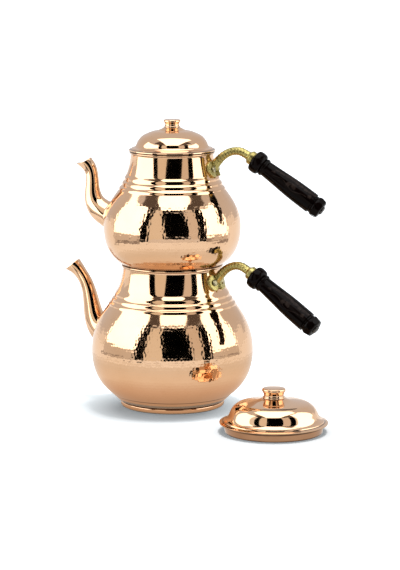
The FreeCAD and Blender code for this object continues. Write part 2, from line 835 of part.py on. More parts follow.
def make_lid(pot, shares, up, out, aside):
    """Spun lid with its locating collar, its turned knob and the screw that holds the knob."""
    name = pot.name
    lid_r = pot.neck + pot.size("lid_over")
    high = pot.size("lid_high")
    collar_high = pot.size("collar_high")
    knob_r = pot.size("knob_r")
    knob_high = pot.size("knob_high")
    seat_r = knob_r * KNOB_SEAT_SHARE
    collar_out = pot.mouth - named("collar_clearance")
    collar_in = collar_out - wall
    taper = named("collar_taper")
    outer = [(lid_r, wall)] + [(lid_r * share, high * rise) for share, rise in shares] + [(seat_r, high)]
    inner = inset(outer, wall)[2:]
    inner_start_share, inner_up_share = LID_INNER_START_SHARES
    lid = turned_body(
        name + "_lid_spun",
        (collar_in, ZERO),
        [
            [(lid_r, ZERO)],
            [(lid_r, wall)],
            outer[1:],
            [(screw_r, high)],
            [(screw_r, high - wall)],
            [(seat_r, high - wall)],
            inner[-2::-1] + [(collar_in * inner_start_share, high * inner_up_share), (collar_in, ZERO)],
        ],
    )
    keep(name + "_lid", lid, placing(out, up, aside=aside))
    collar = turned_body(
        name + "_lid_collar_turned",
        (collar_in - taper, ZERO),
        [
            [(collar_out - taper, ZERO)],
            [(collar_out, collar_high)],
            [(collar_in, collar_high)],
            [(collar_in - taper, ZERO)],
        ],
    )
    keep(name + "_lid_collar", collar, placing(out, up - collar_high, aside=aside))
    deep = named("screw_deep")

    def on_knob(pairs):
        return [(knob_r * across, knob_high * rise) for across, rise in pairs]

    knob = turned_body(
        name + "_knob_turned",
        (screw_r, ZERO),
        [
            [(knob_r * KNOB_FOOT_SHARE, ZERO)],
            on_knob(KNOB_BEAD_SHARES),
            on_knob(KNOB_WAIST_SHARES),
            on_knob(KNOB_EDGE_SHARES),
            [(ZERO, knob_high)],
            [(ZERO, deep)],
            [(screw_r, deep)],
            [(screw_r, ZERO)],
        ],
    )
    keep(name + "_lid_knob", knob, placing(out, up + high, aside=aside))
    head_r = named("screw_head_r")
    head_high = named("screw_head_high")
    shank_up = head_high + wall + deep
    screw = turned_body(
        name + "_screw_turned",
        (ZERO, ZERO),
        [
            [(head_r * SCREW_HEAD_SHARE, ZERO)],
            [(head_r, head_high * SCREW_HEAD_SHARE)],
            [(head_r, head_high)],
            [(screw_r, head_high)],
            [(screw_r, shank_up)],
            [(ZERO, shank_up)],
            [(ZERO, ZERO)],
        ],
    )
    keep(name + "_lid_screw", screw, placing(out, up + high - wall - head_high, aside=aside))


def make_pot(pot, stations, mouth_lean, hole_tools):
    skin = new_body(pot.name + "_skin_tool")
    pot.filled(skin, pot.name + "_skin_tool_turned", seat_gap)
    rivet_holes = make_rivets(pot, "rivet_hole", "0")
    make_shell(pot, hole_tools + rivet_holes)
    make_spout(pot, skin, stations, mouth_lean)
    make_bracket(pot, skin, rivet_holes)
    for side, rivet in zip(("left", "right"), make_rivets(pot, "rivet", pot.turn)):
        keep(f"{pot.name}_rivet_{side}", rivet)
    make_grip(pot)


def spout_holes(pot, hole_r, places, lean):
    """Round holes through the belly behind the spout, along the spout's way in."""
    root_out, root_up = root_of_spout(pot)
    long = pot.size("spout_root_r") * HOLE_LONG_SHARE
    return [
        cylinder(
            f"{pot.name}_spout_hole_{place}", hole_r, long,
            placing(ZERO - root_out, root_up, lean=repr(lean - RIGHT_ANGLE), off_across=across, off_up=up),
        )
        for place, (across, up) in enumerate(places)
    ]


kettle_opening = named("kettle_opening_r")
kettle = Pot(
    "kettle", kettle_low, "0", kettle_opening, kettle_opening + named("kettle_seat_wide"),
    (KETTLE_LOWER_SHARES, KETTLE_UPPER_SHARES, KETTLE_STEP_SHARES, KETTLE_RIDGE_SHARES),
    KETTLE_EAR_SHARE,
)
# The teapot's foot drops into the kettle's mouth, and its shell rests on the kettle's rim
teapot_foot_r = kettle.mouth - named("foot_clearance")
teapot_foot_high = named("teapot_foot_high")
teapot = Pot(
    "teapot", teapot_low, "sizes.teapot_turn_deg",
    teapot_foot_r - named("teapot_ledge_wide"), kettle.neck + named("teapot_seat_over"),
    (TEAPOT_LOWER_SHARES, TEAPOT_UPPER_SHARES, TEAPOT_STEP_SHARES, TEAPOT_RIDGE_SHARES),
    TEAPOT_EAR_SHARE,
)
kettle.facing = placing(ZERO, ZERO, turn=kettle.turn)
teapot.facing = placing(ZERO, ZERO, turn=teapot.turn)

# Kettle
make_pot(
    kettle, KETTLE_SPOUT_SHARES, KETTLE_MOUTH_LEAN,
    spout_holes(kettle, named("kettle_pour_hole_r"), [(ZERO, ZERO)], KETTLE_SPOUT_SHARES[0][-1]),
)
make_base(kettle, kettle.seat + named("kettle_foot_out"), kettle_low, kettle.seat, ZERO)

# Teapot
ring_r = named("strainer_ring_r")
ring = [
    (ring_r * math.cos(math.tau * place / RING_HOLES), ring_r * math.sin(math.tau * place / RING_HOLES))
    for place in range(RING_HOLES)
]
make_pot(
    teapot, TEAPOT_SPOUT_SHARES, TEAPOT_MOUTH_LEAN,
    spout_holes(
        teapot, named("strainer_hole_r"), [(ZERO, ZERO)] + ring, TEAPOT_SPOUT_SHARES[0][-1]
    ),
)
make_base(teapot, teapot_foot_r, teapot_foot_high, teapot_foot_r, teapot_low - teapot_foot_high)

# Teapot's lid on its rim, and the kettle's lid standing on the floor on its collar
make_lid(teapot, TEAPOT_LID_SHARES, teapot.rim + seat_gap, ZERO, ZERO)
make_lid(
    kettle, KETTLE_LID_SHARES, named("kettle_collar_high"),
    named("kettle_lid_out"), ZERO - named("kettle_lid_aside"),
)

doc.recompute()
for thing in doc.Objects:
    if "Invalid" in thing.State or "Error" in thing.State:
        raise RuntimeError(f"{thing.Name} failed: {thing.State}")
for node, thing in nodes.items():
    shape = thing.Shape
    if shape.isNull() or not shape.isValid() or len(shape.Solids) != 1:
        raise RuntimeError(f"{node} is not one valid solid")

os.makedirs("parts", exist_ok=True)
for node, thing in nodes.items():
    thing.Shape.exportStep(f"parts/{node}.step")
    box_of = thing.Shape.BoundBox
    print(
        f"{node}: {thing.Shape.Volume:.0f} mm3, x {box_of.XMin:.1f} to {box_of.XMax:.1f},"
        f" y {box_of.YMin:.1f} to {box_of.YMax:.1f}, z {box_of.ZMin:.1f} to {box_of.ZMax:.1f}"
    )
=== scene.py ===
import math

import bpy
import numpy as np
from mathutils import Matrix, Vector


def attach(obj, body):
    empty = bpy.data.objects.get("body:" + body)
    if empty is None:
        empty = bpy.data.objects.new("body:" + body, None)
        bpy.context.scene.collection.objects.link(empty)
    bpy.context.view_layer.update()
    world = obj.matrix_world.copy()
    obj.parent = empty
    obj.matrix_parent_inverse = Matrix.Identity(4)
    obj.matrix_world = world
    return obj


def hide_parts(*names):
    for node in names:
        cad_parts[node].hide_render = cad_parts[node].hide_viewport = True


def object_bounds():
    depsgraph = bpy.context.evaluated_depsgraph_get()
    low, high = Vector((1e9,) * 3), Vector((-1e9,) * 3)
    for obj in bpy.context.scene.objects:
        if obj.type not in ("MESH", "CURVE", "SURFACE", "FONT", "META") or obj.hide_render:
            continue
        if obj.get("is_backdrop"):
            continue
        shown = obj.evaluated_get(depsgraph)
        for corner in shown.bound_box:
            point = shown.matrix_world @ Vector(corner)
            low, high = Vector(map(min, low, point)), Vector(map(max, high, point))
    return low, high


# Copper double teapot: a hammered kettle, a teapot standing in its mouth, the teapot's lid, and the
# kettle's own lid lying beside the kettle. Pieces are drawn in millimetres, the studio in metres.

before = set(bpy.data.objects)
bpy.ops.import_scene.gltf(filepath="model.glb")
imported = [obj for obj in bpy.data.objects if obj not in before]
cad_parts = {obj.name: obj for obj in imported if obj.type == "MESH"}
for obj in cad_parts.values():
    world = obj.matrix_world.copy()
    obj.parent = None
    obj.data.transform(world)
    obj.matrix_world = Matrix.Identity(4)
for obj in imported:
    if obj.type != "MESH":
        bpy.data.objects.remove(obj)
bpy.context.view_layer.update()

MM = 0.001
FULL_TURN = 2 * math.pi


# Curves and outlines

CORNER_ROOM = 0.45


def pole_curve(poles, count):
    """Points of a clamped uniform cubic curve drawn towards its poles."""
    poles = np.array(poles, float)
    spans = len(poles) - 3
    just_under = 1e-9
    knots = np.concatenate([[0.0] * 3, np.arange(spans + 1.0), [float(spans)] * 3])
    at = np.linspace(0.0, spans - just_under, count)
    basis = ((at[:, None] >= knots[:-1]) & (at[:, None] < knots[1:])).astype(float)
    for degree in (1, 2, 3):
        wider = np.zeros((count, basis.shape[1] - 1))
        for k in range(basis.shape[1] - 1):
            left = knots[k + degree] - knots[k]
            right = knots[k + degree + 1] - knots[k + 1]
            if left > 0:
                wider[:, k] += (at - knots[k]) / left * basis[:, k]
            if right > 0:
                wider[:, k] += (knots[k + degree + 1] - at) / right * basis[:, k + 1]
        basis = wider
    points = basis @ poles
    points[-1] = poles[-1]
    return points


def share_curve(wide, high, count, *shares, start=0.0):
    """A curve towards poles that are shares of a width, out from a start, and of a height."""
    return pole_curve([(start + wide * out, high * up) for out, up in shares], count)


def through(at, values, where):
    """Natural cubic curve through values, read at other places."""
    at = np.array(at, float)
    values = np.array(values, float)
    gap = np.diff(at)
    count = len(at)
    rows = np.zeros((count, count))
    right = np.zeros(count)
    rows[0, 0] = rows[-1, -1] = 1.0
    for k in range(1, count - 1):
        rows[k, k - 1] = gap[k - 1]
        rows[k, k] = 2 * (gap[k - 1] + gap[k])
        rows[k, k + 1] = gap[k]
        right[k] = 6 * ((values[k + 1] - values[k]) / gap[k] - (values[k] - values[k - 1]) / gap[k - 1])
    bend = np.linalg.solve(rows, right)
    k = np.clip(np.searchsorted(at, where) - 1, 0, count - 2)
    a = (at[k + 1] - where) / gap[k]
    b = (where - at[k]) / gap[k]
    bent = ((a ** 3 - a) * bend[k] + (b ** 3 - b) * bend[k + 1]) * gap[k] ** 2 / 6
    return a * values[k] + b * values[k + 1] + bent


def lengths_along(points):
    """Distance along a line up to each of its points."""
    steps = np.hypot(*np.diff(np.array(points, float), axis=0).T)
    return np.concatenate([[0.0], np.cumsum(steps)])


def spaced(points, step):
    """The same line with points at an even step."""
    points = np.array(points, float)
    run = lengths_along(points)
    count = max(2, int(math.ceil(run[-1] / step)) + 1)
    at = np.linspace(0.0, run[-1], count)
    return np.stack([np.interp(at, run, side) for side in points.T], axis=1)


def ways_along(points):
    """The way a line runs at each of its points."""
    way = np.gradient(points, axis=0)
    return way / np.hypot(way[:, 0], way[:, 1])[:, None]


def sidestep(points, depth):
    """A line moved sideways by one depth or a depth at each point, to the left of the way it runs."""
    points = np.array(points, float)
    way = ways_along(points)
    return points + np.reshape(depth, (-1, 1)) * np.stack([-way[:, 1], way[:, 0]], axis=1)


def rounded(points, radius, steps=4):
    """A chain of straight lines with its inner corners rounded off."""
    points = [np.array(point, float) for point in points]
    made = [points[0]]
    for before, here, after in zip(points, points[1:], points[2:]):
        back = before - here
        on = after - here
        room = min(radius, np.hypot(*back) * CORNER_ROOM, np.hypot(*on) * CORNER_ROOM)
        start = here + back / np.hypot(*back) * room
        end = here + on / np.hypot(*on) * room
        for k in range(steps + 1):
            t = k / steps
            made.append((1 - t) ** 2 * start + 2 * t * (1 - t) * here + t ** 2 * end)
    made.append(points[-1])
    return np.array(made)


def between(value, start, end):
    """Share of the way from a start to an end, held within 0 and 1."""
    return np.clip((value - start) / (end - start), 0, 1)


def eased(share):
    """A share that starts and ends gently."""
    return share * share * (3 - 2 * share)


# Meshes


def added(name, data):
    thing = bpy.data.objects.new(name, data)
    bpy.context.scene.collection.objects.link(thing)
    return thing


def smoothed(mesh):
    mesh.polygons.foreach_set("use_smooth", np.ones(len(mesh.polygons), bool))


def mesh_object(name, points, faces, material, sharp, tinned=None):
    """An object from points in millimetres, smooth but for its sharp edges, some of its faces tinned."""
    mesh = bpy.data.meshes.new(name)
    mesh.from_pydata(np.reshape(points, (-1, 3)) * MM, [], faces.tolist())
    mesh.materials.append(material)
    if tinned is not None:
        mesh.materials.append(tin)
        mesh.polygons.foreach_set("material_index", tinned.astype(np.int32))
    smoothed(mesh)
    mesh.set_sharp_from_angle(angle=math.radians(sharp))
    mesh.update()
    return added(name, mesh)


def grid_faces(rows, columns):
    """Faces between rows of points, each row closed to a ring."""
    row = np.arange(rows - 1)[:, None] * columns
    above = row + columns
    column = np.arange(columns)[None, :]
    beside = (column + 1) % columns
    return np.stack([row + column, row + beside, above + beside, above + column], axis=-1).reshape(-1, 4)


def angles(columns):
    return np.arange(columns) * FULL_TURN / columns


def turned_points(outline, columns):
    """Rings of points, one for each point of an outline of radius and height."""
    outline = np.array(outline, float)
    out = outline[:, :1]
    up = np.repeat(outline[:, 1:], columns, axis=1)
    angle = angles(columns)
    return np.stack([out * np.cos(angle), out * np.sin(angle), up], axis=-1)


def turned(name, outline, columns, material, place, sharp):
    """A turned piece about its own upright axis, then put in its place."""
    points = turned_points(outline, columns)
    thing = mesh_object(name, points, grid_faces(len(outline), columns), material, sharp)
    thing.matrix_world = place
    return thing


def shift(x, y, z):
    return Matrix.Translation((x * MM, y * MM, z * MM))


def belongs(thing, body, node):
    """Puts a piece on its body in place of the solid of a node."""
    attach(thing, body)
    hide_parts(node)


# Materials

# A noise mostly lies between these values.
CLOUD = (0.3, 0.7)


class Wires:
    """A node tree, built step by step."""

    def __init__(self, tree):
        self.tree = tree

    def add(self, kind, values=(), **settings):
        """A node with its settings, and constant values on its sockets."""
        node = self.tree.nodes.new(kind)
        for key, value in settings.items():
            setattr(node, key, value)
        for key, value in dict(values).items():
            node.inputs[key].default_value = value
        return node

    def link(self, source, socket):
        """Wires a source to a socket, or sets a number or colour on it."""
        if isinstance(source, (int, float)):
            socket.default_value = source
        elif isinstance(source, tuple):
            socket.default_value = (*source, 1.0)
        elif source is not None:
            self.tree.links.new(source, socket)

    def ramp(self, source, *stops):
        node = self.add("ShaderNodeValToRGB")
        ramp = node.color_ramp
        while len(ramp.elements) < len(stops):
            ramp.elements.new(0.5)
        for element, (at, colour) in zip(ramp.elements, stops):
            element.position = at
            element.color = (*colour, 1.0)
        self.link(source, node.inputs["Fac"])
        return node.outputs["Color"]

    def span(self, source, low, high, start=0.0, end=1.0):
        """A value carried over from one range to another and held within it."""
        values = {"From Min": start, "From Max": end, "To Min": low, "To Max": high}
        node = self.add("ShaderNodeMapRange", values)
        self.link(source, node.inputs["Value"])
        return node.outputs["Result"]

    def maths(self, kind, first, second=None):
        node = self.add("ShaderNodeMath", operation=kind)
        self.link(first, node.inputs[0])
        self.link(second, node.inputs[1])
        return node.outputs["Value"]

    def largest(self, masks):
        made = masks[0]
        for mask in masks[1:]:
            made = self.maths("MAXIMUM", made, mask)
        return made

    def first_seen(self):
        """One for light seen directly or in mirrors, nothing for light off a matt surface."""
        return self.span(self.add("ShaderNodeLightPath").outputs["Diffuse Depth"], 1.0, 0.0)


class Paint(Wires):
    """A material with its shader's own values, and the sockets that are wired to them."""

    def __init__(self, name, **values):
        self.material = bpy.data.materials.new(name)
        self.material.use_nodes = True
        super().__init__(self.material.node_tree)
        self.shader = self.tree.nodes["Principled BSDF"]
        self.place = self.add("ShaderNodeTexCoord").outputs["Object"]
        for key, value in values.items():
            self.shader.inputs[key.replace("_", " ")].default_value = value

    def noise(self, scale, detail=4.0, rough=0.55, stretch=None):
        node = self.add("ShaderNodeTexNoise", {"Scale": scale, "Detail": detail, "Roughness": rough})
        start = self.place
        if stretch:
            mapping = self.add("ShaderNodeMapping", {"Scale": stretch})
            self.link(start, mapping.inputs["Vector"])
            start = mapping.outputs["Vector"]
        self.link(start, node.inputs["Vector"])
        return node.outputs["Fac"]

    def parts_of_place(self):
        node = self.add("ShaderNodeSeparateXYZ")
        self.link(self.place, node.inputs["Vector"])
        return node.outputs[:]

    def mixed(self, share, first, second, kind="MIX"):
        """One colour over another by a share, each a value or a socket."""
        node = self.add("ShaderNodeMix", data_type="RGBA", blend_type=kind)
        for value, name in ((share, "Factor"), (first, "A"), (second, "B")):
            self.link(value, node.inputs[name])
        return node.outputs["Result"]

    def band(self, value, at, half, soft):
        """One at a value and nothing away from it."""
        far = self.maths("ABSOLUTE", self.maths("SUBTRACT", value, at))
        return self.span(far, 1.0, 0.0, half, half + soft)

    def coloured(self, source):
        self.link(source, self.shader.inputs["Base Color"])

    def roughened(self, source, low, high):
        self.link(self.span(source, low, high, *CLOUD), self.shader.inputs["Roughness"])

    def bumped(self, source, strength, distance):
        node = self.add("ShaderNodeBump", {"Strength": strength, "Distance": distance})
        self.link(source, node.inputs["Height"])
        self.link(node.outputs["Normal"], self.shader.inputs["Normal"])


COPPER_WARM = (0.765, 0.475, 0.275)
COPPER_PALE = (0.82, 0.535, 0.335)
COPPER_STAIN = (0.70, 0.60, 0.52)
# Colour of the lines of painted shade along seams, creases, contacts and under flanges.
COPPER_SEAM_SHADE = (0.045, 0.021, 0.013)


def copper(name, rough, brushed, shade_lines=(), warm=COPPER_WARM, pale=COPPER_PALE):
    """Polished copper with faint clouding, wheel hairlines, tarnish, and lines of painted shade at given
    heights.

    A line of painted shade darkens a seam, a crease, a contact or the metal under a flange.
    It has its height, its half width and the width over which it fades."""
    paint = Paint(name, Metallic=1.0)
    colour = paint.ramp(paint.noise(16.0, 5.0), (0.3, warm), (0.62, pale))
    stain = paint.ramp(paint.noise(55.0, 6.0, 0.7), (0.62, (1.0, 1.0, 1.0)), (0.86, COPPER_STAIN))
    colour = paint.mixed(0.6, colour, stain, "MULTIPLY")
    # Painted shade: dark lines at the given heights, made uneven in strength by noise.
    if shade_lines:
        height = paint.parts_of_place()[2]
        uneven = paint.span(paint.noise(40.0, 3.0), 0.55, 1.0, *CLOUD)
        masks = [paint.band(height, at * MM, half * MM, soft * MM) for at, half, soft in shade_lines]
        mask = paint.maths("MULTIPLY", paint.largest(masks), uneven)
        colour = paint.mixed(mask, colour, COPPER_SEAM_SHADE)
    paint.coloured(colour)
    paint.roughened(paint.noise(30.0, 3.0, 0.5, (1.0, 1.0, 4.0)), *rough)
    paint.bumped(paint.noise(110.0, 2.0, 0.5, (0.15, 0.15, 22.0)), brushed, 0.00002)
    return paint.material


HAMMERED = ((0.05, 0.10), 0.3)
smooth_copper = copper("smooth_copper", (0.035, 0.075), 0.25)
# The dark lines given for each piece are painted shade at its seams, creases, floor contacts and under
# flanges.
kettle_copper = copper(
    "kettle_copper", *HAMMERED, ((5.7, 0.15, 0.35), (13.3, 0.15, 0.4), (149.2, 0.1, 0.5), (151.3, 0.3, 0.5))
)
teapot_copper = copper(
    "teapot_copper", *HAMMERED, ((151.7, 0.4, 0.5), (153.3, 0.15, 0.4), (268.5, 0.1, 0.5), (270.9, 0.8, 0.6))
)
pan_copper = copper("pan_copper", *HAMMERED, ((0.0, 0.3, 0.6), (5.5, 0.3, 0.4)))
lid_copper = copper("lid_copper", (0.035, 0.08), 0.25, ((0.0, 0.4, 0.4), (2.1, 0.1, 0.3)))
# The collar is rougher, duller copper, made darker as painted shade under the lid's flange.
collar_shaded_copper = copper(
    "collar_shaded_copper", (0.12, 0.2), 0.4, ((0.0, 0.5, 1.2), (8.8, 1.7, 1.0)),
    (0.33, 0.175, 0.095), (0.46, 0.255, 0.145),
)


def lining_tin():
    """The dull pale tin that lines the pots and lids."""
    paint = Paint("tinned_inside", Metallic=1.0)
    paint.coloured(
        paint.ramp(paint.noise(22.0, 6.0, 0.6), (0.3, (0.56, 0.55, 0.53)), (0.7, (0.76, 0.755, 0.74)))
    )
    paint.roughened(paint.noise(60.0), 0.22, 0.42)
    paint.bumped(paint.noise(45.0, 3.0), 0.5, 0.0003)
    return paint.material


def brass():
    """Cast brass, pale where hands rub it and brown in the hollows of its relief."""
    paint = Paint("cast_brass", Metallic=1.0)
    colour = paint.ramp(
        paint.noise(70.0, 5.0, 0.6),
        (0.25, (0.38, 0.31, 0.105)),
        (0.55, (0.47, 0.40, 0.145)),
        (0.8, (0.55, 0.49, 0.23)),
    )
    hollow = paint.add("ShaderNodeAttribute", attribute_name="hollow").outputs["Fac"]
    spots = paint.span(paint.noise(420.0, 4.0, 0.6), 0.0, 0.35, 0.5, 0.7)
    paint.coloured(paint.mixed(paint.maths("MAXIMUM", hollow, spots), colour, (0.15, 0.11, 0.035)))
    paint.roughened(paint.noise(200.0), 0.22, 0.4)
    paint.bumped(paint.noise(900.0, 3.0, 0.6), 0.4, 0.0002)
    return paint.material


# Leaves of a spray on the grip's barrel: place along it, place round it, half length, half width, tilt.
SPRAY = (
    (46.0, -0.6, 3.0, 2.3, 0.9), (52.1, 0.2, 3.3, 2.5, -0.5), (71.5, 1.5, 2.3, 1.9, 0.3),
    (26.2, 0.6, 2.1, 1.6, 0.2), (28.6, 4.6, 3.0, 1.6, 0.35), (34.6, 5.4, 3.3, 1.8, 0.1),
    (40.6, 6.8, 3.3, 2.1, 0.45), (46.4, 7.4, 3.3, 2.5, -0.3), (52.4, 6.6, 3.6, 2.2, -0.4),
    (58.4, 5.8, 3.2, 1.8, 0.2), (64.0, 5.3, 3.4, 2.0, -0.2), (69.6, 5.9, 3.0, 1.8, 0.4),
    (74.2, 6.4, 2.2, 1.5, 0.1),
)
SPRAY_SIDE = -116.0
SPRAY_COLOUR = (0.034, 0.023, 0.019)
BARREL_MEAN_R = 9.8


def dark_wood():
    """Near-black lacquered wood, with faint grain along the grip and a dull spray of leaves on two sides."""
    paint = Paint("dark_wood", Specular_IOR_Level=0.06)
    grain = paint.noise(60.0, 6.0, 0.6, (6.0, 6.0, 0.5))
    colour = paint.ramp(grain, (0.35, (0.0022, 0.0010, 0.0008)), (0.75, (0.007, 0.0032, 0.0027)))
    x, y, z = paint.parts_of_place()
    along = paint.maths("DIVIDE", z, MM)
    turn = paint.maths("SUBTRACT", paint.maths("ARCTAN2", y, x), math.radians(SPRAY_SIDE + 90.0))
    turn = paint.maths("SUBTRACT", paint.maths("FLOORED_MODULO", turn, math.pi), 0.5 * math.pi)
    around = paint.maths("MULTIPLY", turn, -BARREL_MEAN_R)
    spread = paint.add("ShaderNodeCombineXYZ")
    paint.link(along, spread.inputs["X"])
    paint.link(around, spread.inputs["Y"])
    ragged = paint.span(paint.noise(700.0, 3.0, 0.6), -0.4, 0.4, *CLOUD)
    masks = []
    for at, off, long, wide, tilt in SPRAY:
        values = {"Location": (at, off, 0.0), "Rotation": (0.0, 0.0, tilt), "Scale": (long, wide, 1.0)}
        leaf = paint.add("ShaderNodeMapping", values, vector_type="TEXTURE")
        paint.link(spread.outputs["Vector"], leaf.inputs["Vector"])
        far = paint.add("ShaderNodeVectorMath", operation="LENGTH")
        paint.link(leaf.outputs["Vector"], far.inputs[0])
        edge = paint.maths("ADD", far.outputs["Value"], ragged)
        masks.append(paint.span(edge, 1.0, 0.0, 0.75, 1.1))
    wave = paint.maths("MULTIPLY", paint.maths("SINE", paint.maths("MULTIPLY", along, 0.21)), 1.8)
    stem = paint.band(paint.maths("SUBTRACT", around, wave), -2.4, 0.15, 0.3)
    masks.append(paint.maths("MULTIPLY", stem, paint.band(along, 48.0, 20.0, 1.0)))
    worn = paint.span(paint.noise(260.0, 3.0), 0.45, 1.0, 0.35, 0.65)
    spray = paint.maths("MULTIPLY", paint.largest(masks), worn)
    paint.coloured(paint.mixed(spray, colour, SPRAY_COLOUR))
    paint.roughened(grain, 0.05, 0.11)
    paint.bumped(grain, 0.3, 0.0001)
    return paint.material


def plated(name, low, high, rough):
    """Plain metal of small parts, a little uneven in colour and gloss."""
    paint = Paint(name, Metallic=1.0)
    paint.coloured(paint.ramp(paint.noise(150.0, 4.0), (0.3, low), (0.7, high)))
    paint.roughened(paint.noise(400.0), rough * 0.8, rough * 1.3)
    paint.bumped(paint.noise(700.0), 0.2, 0.0001)
    return paint.material


tin = lining_tin()
cast_brass = brass()
wood = dark_wood()
steel = plated("steel", (0.42, 0.42, 0.43), (0.58, 0.58, 0.59), 0.3)
nut_metal = plated("nut_metal", (0.05, 0.047, 0.045), (0.10, 0.095, 0.09), 0.25)
rivet_copper = plated("rivet_copper", (0.30, 0.26, 0.15), (0.46, 0.41, 0.26), 0.28)


# The pots' sizes

WALL = 1.0
SEAT_GAP = 0.05
ARM_REACH = 42.5
ARM_RISE = 18.7
SPOUT_ROOT_SHARE = 0.865


class Pot:
    """The sizes of one pot, and the outline of its shell from the crease up to the rim's bead.

    Poles and ridges are shares of the swell and of the height from the crease to the bead. The swell is
    taken from the crease for the lower poles, and from the neck for the upper poles and the ridges."""

    def __init__(self, turn, lower, upper, ridges, **sizes):
        vars(self).update(sizes)
        self.place = Matrix.Rotation(math.radians(turn), 4, "Z")
        crease_r, crease_up = self.corners[-1]
        rise = self.neck_top - crease_up

        def places(start, shares):
            return [(start + (self.belly_r - start) * out, crease_up + rise * up) for out, up in shares]

        poles = self.corners[-1:] + places(crease_r, lower) + places(self.neck_r, upper)
        self.curve = pole_curve(poles + [(self.neck_r, self.neck_top)], 1600)
        self.ridges = places(self.neck_r, ridges)
        ear_out = (self.belly_r - self.neck_r) * self.ear_share
        self.ear = (self.neck_r + ear_out, self.rim - self.ear_drop)
        self.spout_root = (self.belly_r * SPOUT_ROOT_SHARE, self.low + self.spout_high)
        self.spout_end = (self.spout_root[0] + self.spout_out, self.spout_root[1] + self.spout_rise)


kettle = Pot(
    name="kettle", turn=0.0,
    corners=[(50.0, 5.6), (54.0, 5.6), (56.59, 6.6), (62.9, 12.6), (63.6, 13.4)],
    lower=[(0.252, 0.032), (0.732, 0.108), (1.016, 0.262)],
    upper=[(1.006, 0.4205), (0.807, 0.5726), (0.433, 0.701), (0.093, 0.8354), (0.006, 0.94)],
    ridges=[(0.2388, 0.7709), (0.3313, 0.7335), (0.4269, 0.6955)],
    low=5.6, belly_r=85.7, neck_r=52.2, neck_top=150.0, rim=151.5, bead_r=1.5,
    ridge_run_out=7.0, hammer_from=16.0, hammer_to=98.5,
    foot_low=0.0, foot_r=55.0, pan_top_r=54.0, opening_r=50.0,
    spout_out=51.27, spout_high=57.2, spout_rise=78.3,
    root_r=15.2, throat_r=6.9, mouth_r=9.65, mouth_lean=53.4,
    ear_share=0.066, ear_drop=15.2,
)
TEAPOT_LOW = 151.55
teapot = Pot(
    name="teapot", turn=13.0,
    corners=[(46.0, TEAPOT_LOW), (53.2, TEAPOT_LOW), (55.2, TEAPOT_LOW + 1.65)],
    lower=[(0.293, 0.0286), (0.776, 0.111), (1.021, 0.2662)],
    upper=[(0.998, 0.4253), (0.729, 0.5711), (0.3256, 0.6928), (0.08, 0.8401), (0.0, 0.938)],
    ridges=[(0.1903, 0.7584), (0.2872, 0.7137), (0.3979, 0.6664)],
    low=TEAPOT_LOW, belly_r=72.5, neck_r=43.6, neck_top=269.5, rim=270.9, bead_r=1.4,
    ridge_run_out=4.0, hammer_from=TEAPOT_LOW + 4.5, hammer_to=222.0,
    foot_low=TEAPOT_LOW - 8.5, foot_r=50.4, pan_top_r=50.4, opening_r=46.0,
    spout_out=35.44, spout_high=42.4, spout_rise=63.8,
    root_r=14.6, throat_r=6.8, mouth_r=8.65, mouth_lean=68.6,
    ear_share=0.083, ear_drop=16.9,
)


# Shells

# Hammer marks: their spacing, depth, unevenness of place and depth, how far a blow reaches in squares
# of its half width, how far the marks fade at both ends, and how deep and how gently the zone is sunk.
DIMPLE = 3.4
DIMPLE_DEEP = 0.05
DIMPLE_JITTER = 0.24
DIMPLE_DEPTHS = (0.75, 1.25)
CUP_REACH = 1.6
MARKS_FADE = (2.0, 1.0)
ZONE_DOWN = 0.11
ZONE_FADE = 12.0

RIDGE_HIGH = 0.6
RIDGE_HALF = 2.9
RIDGE_UP = 1.6

# Steps along the outline, and the room below and above the ridges that has the finest one.
SHELL_STEP = 0.6
BELOW_RIDGES_STEP = 0.9
RIDGE_STEP = 0.35
NECK_STEP = 1.2
LINING_STEP = 2.5
LINING_COLUMNS = 192
BELOW_RIDGES = 5.0
ABOVE_RIDGES = 9.0
BEAD_TURN = (-78.0, 210.0)
BEAD_POINTS = 26


def with_ridges(line, ridges, run_out):
    """The outline with a smooth ridge just above each place, the topmost running out slowly."""
    run = lengths_along(line)
    outward = sidestep(line, -1.0) - line
    lift = np.zeros(len(line))
    for ridge in ridges:
        top = run[np.hypot(*(line - np.array(ridge)).T).argmin()] + RIDGE_UP
        half = np.where((run > top) & (ridge is ridges[0]), run_out, RIDGE_HALF)
        share = np.clip(np.abs(run - top) / half, 0, 1)
        lift = np.maximum(lift, 0.5 * RIDGE_HIGH * (1 + np.cos(math.pi * share)))
    return line + outward * lift[:, None]


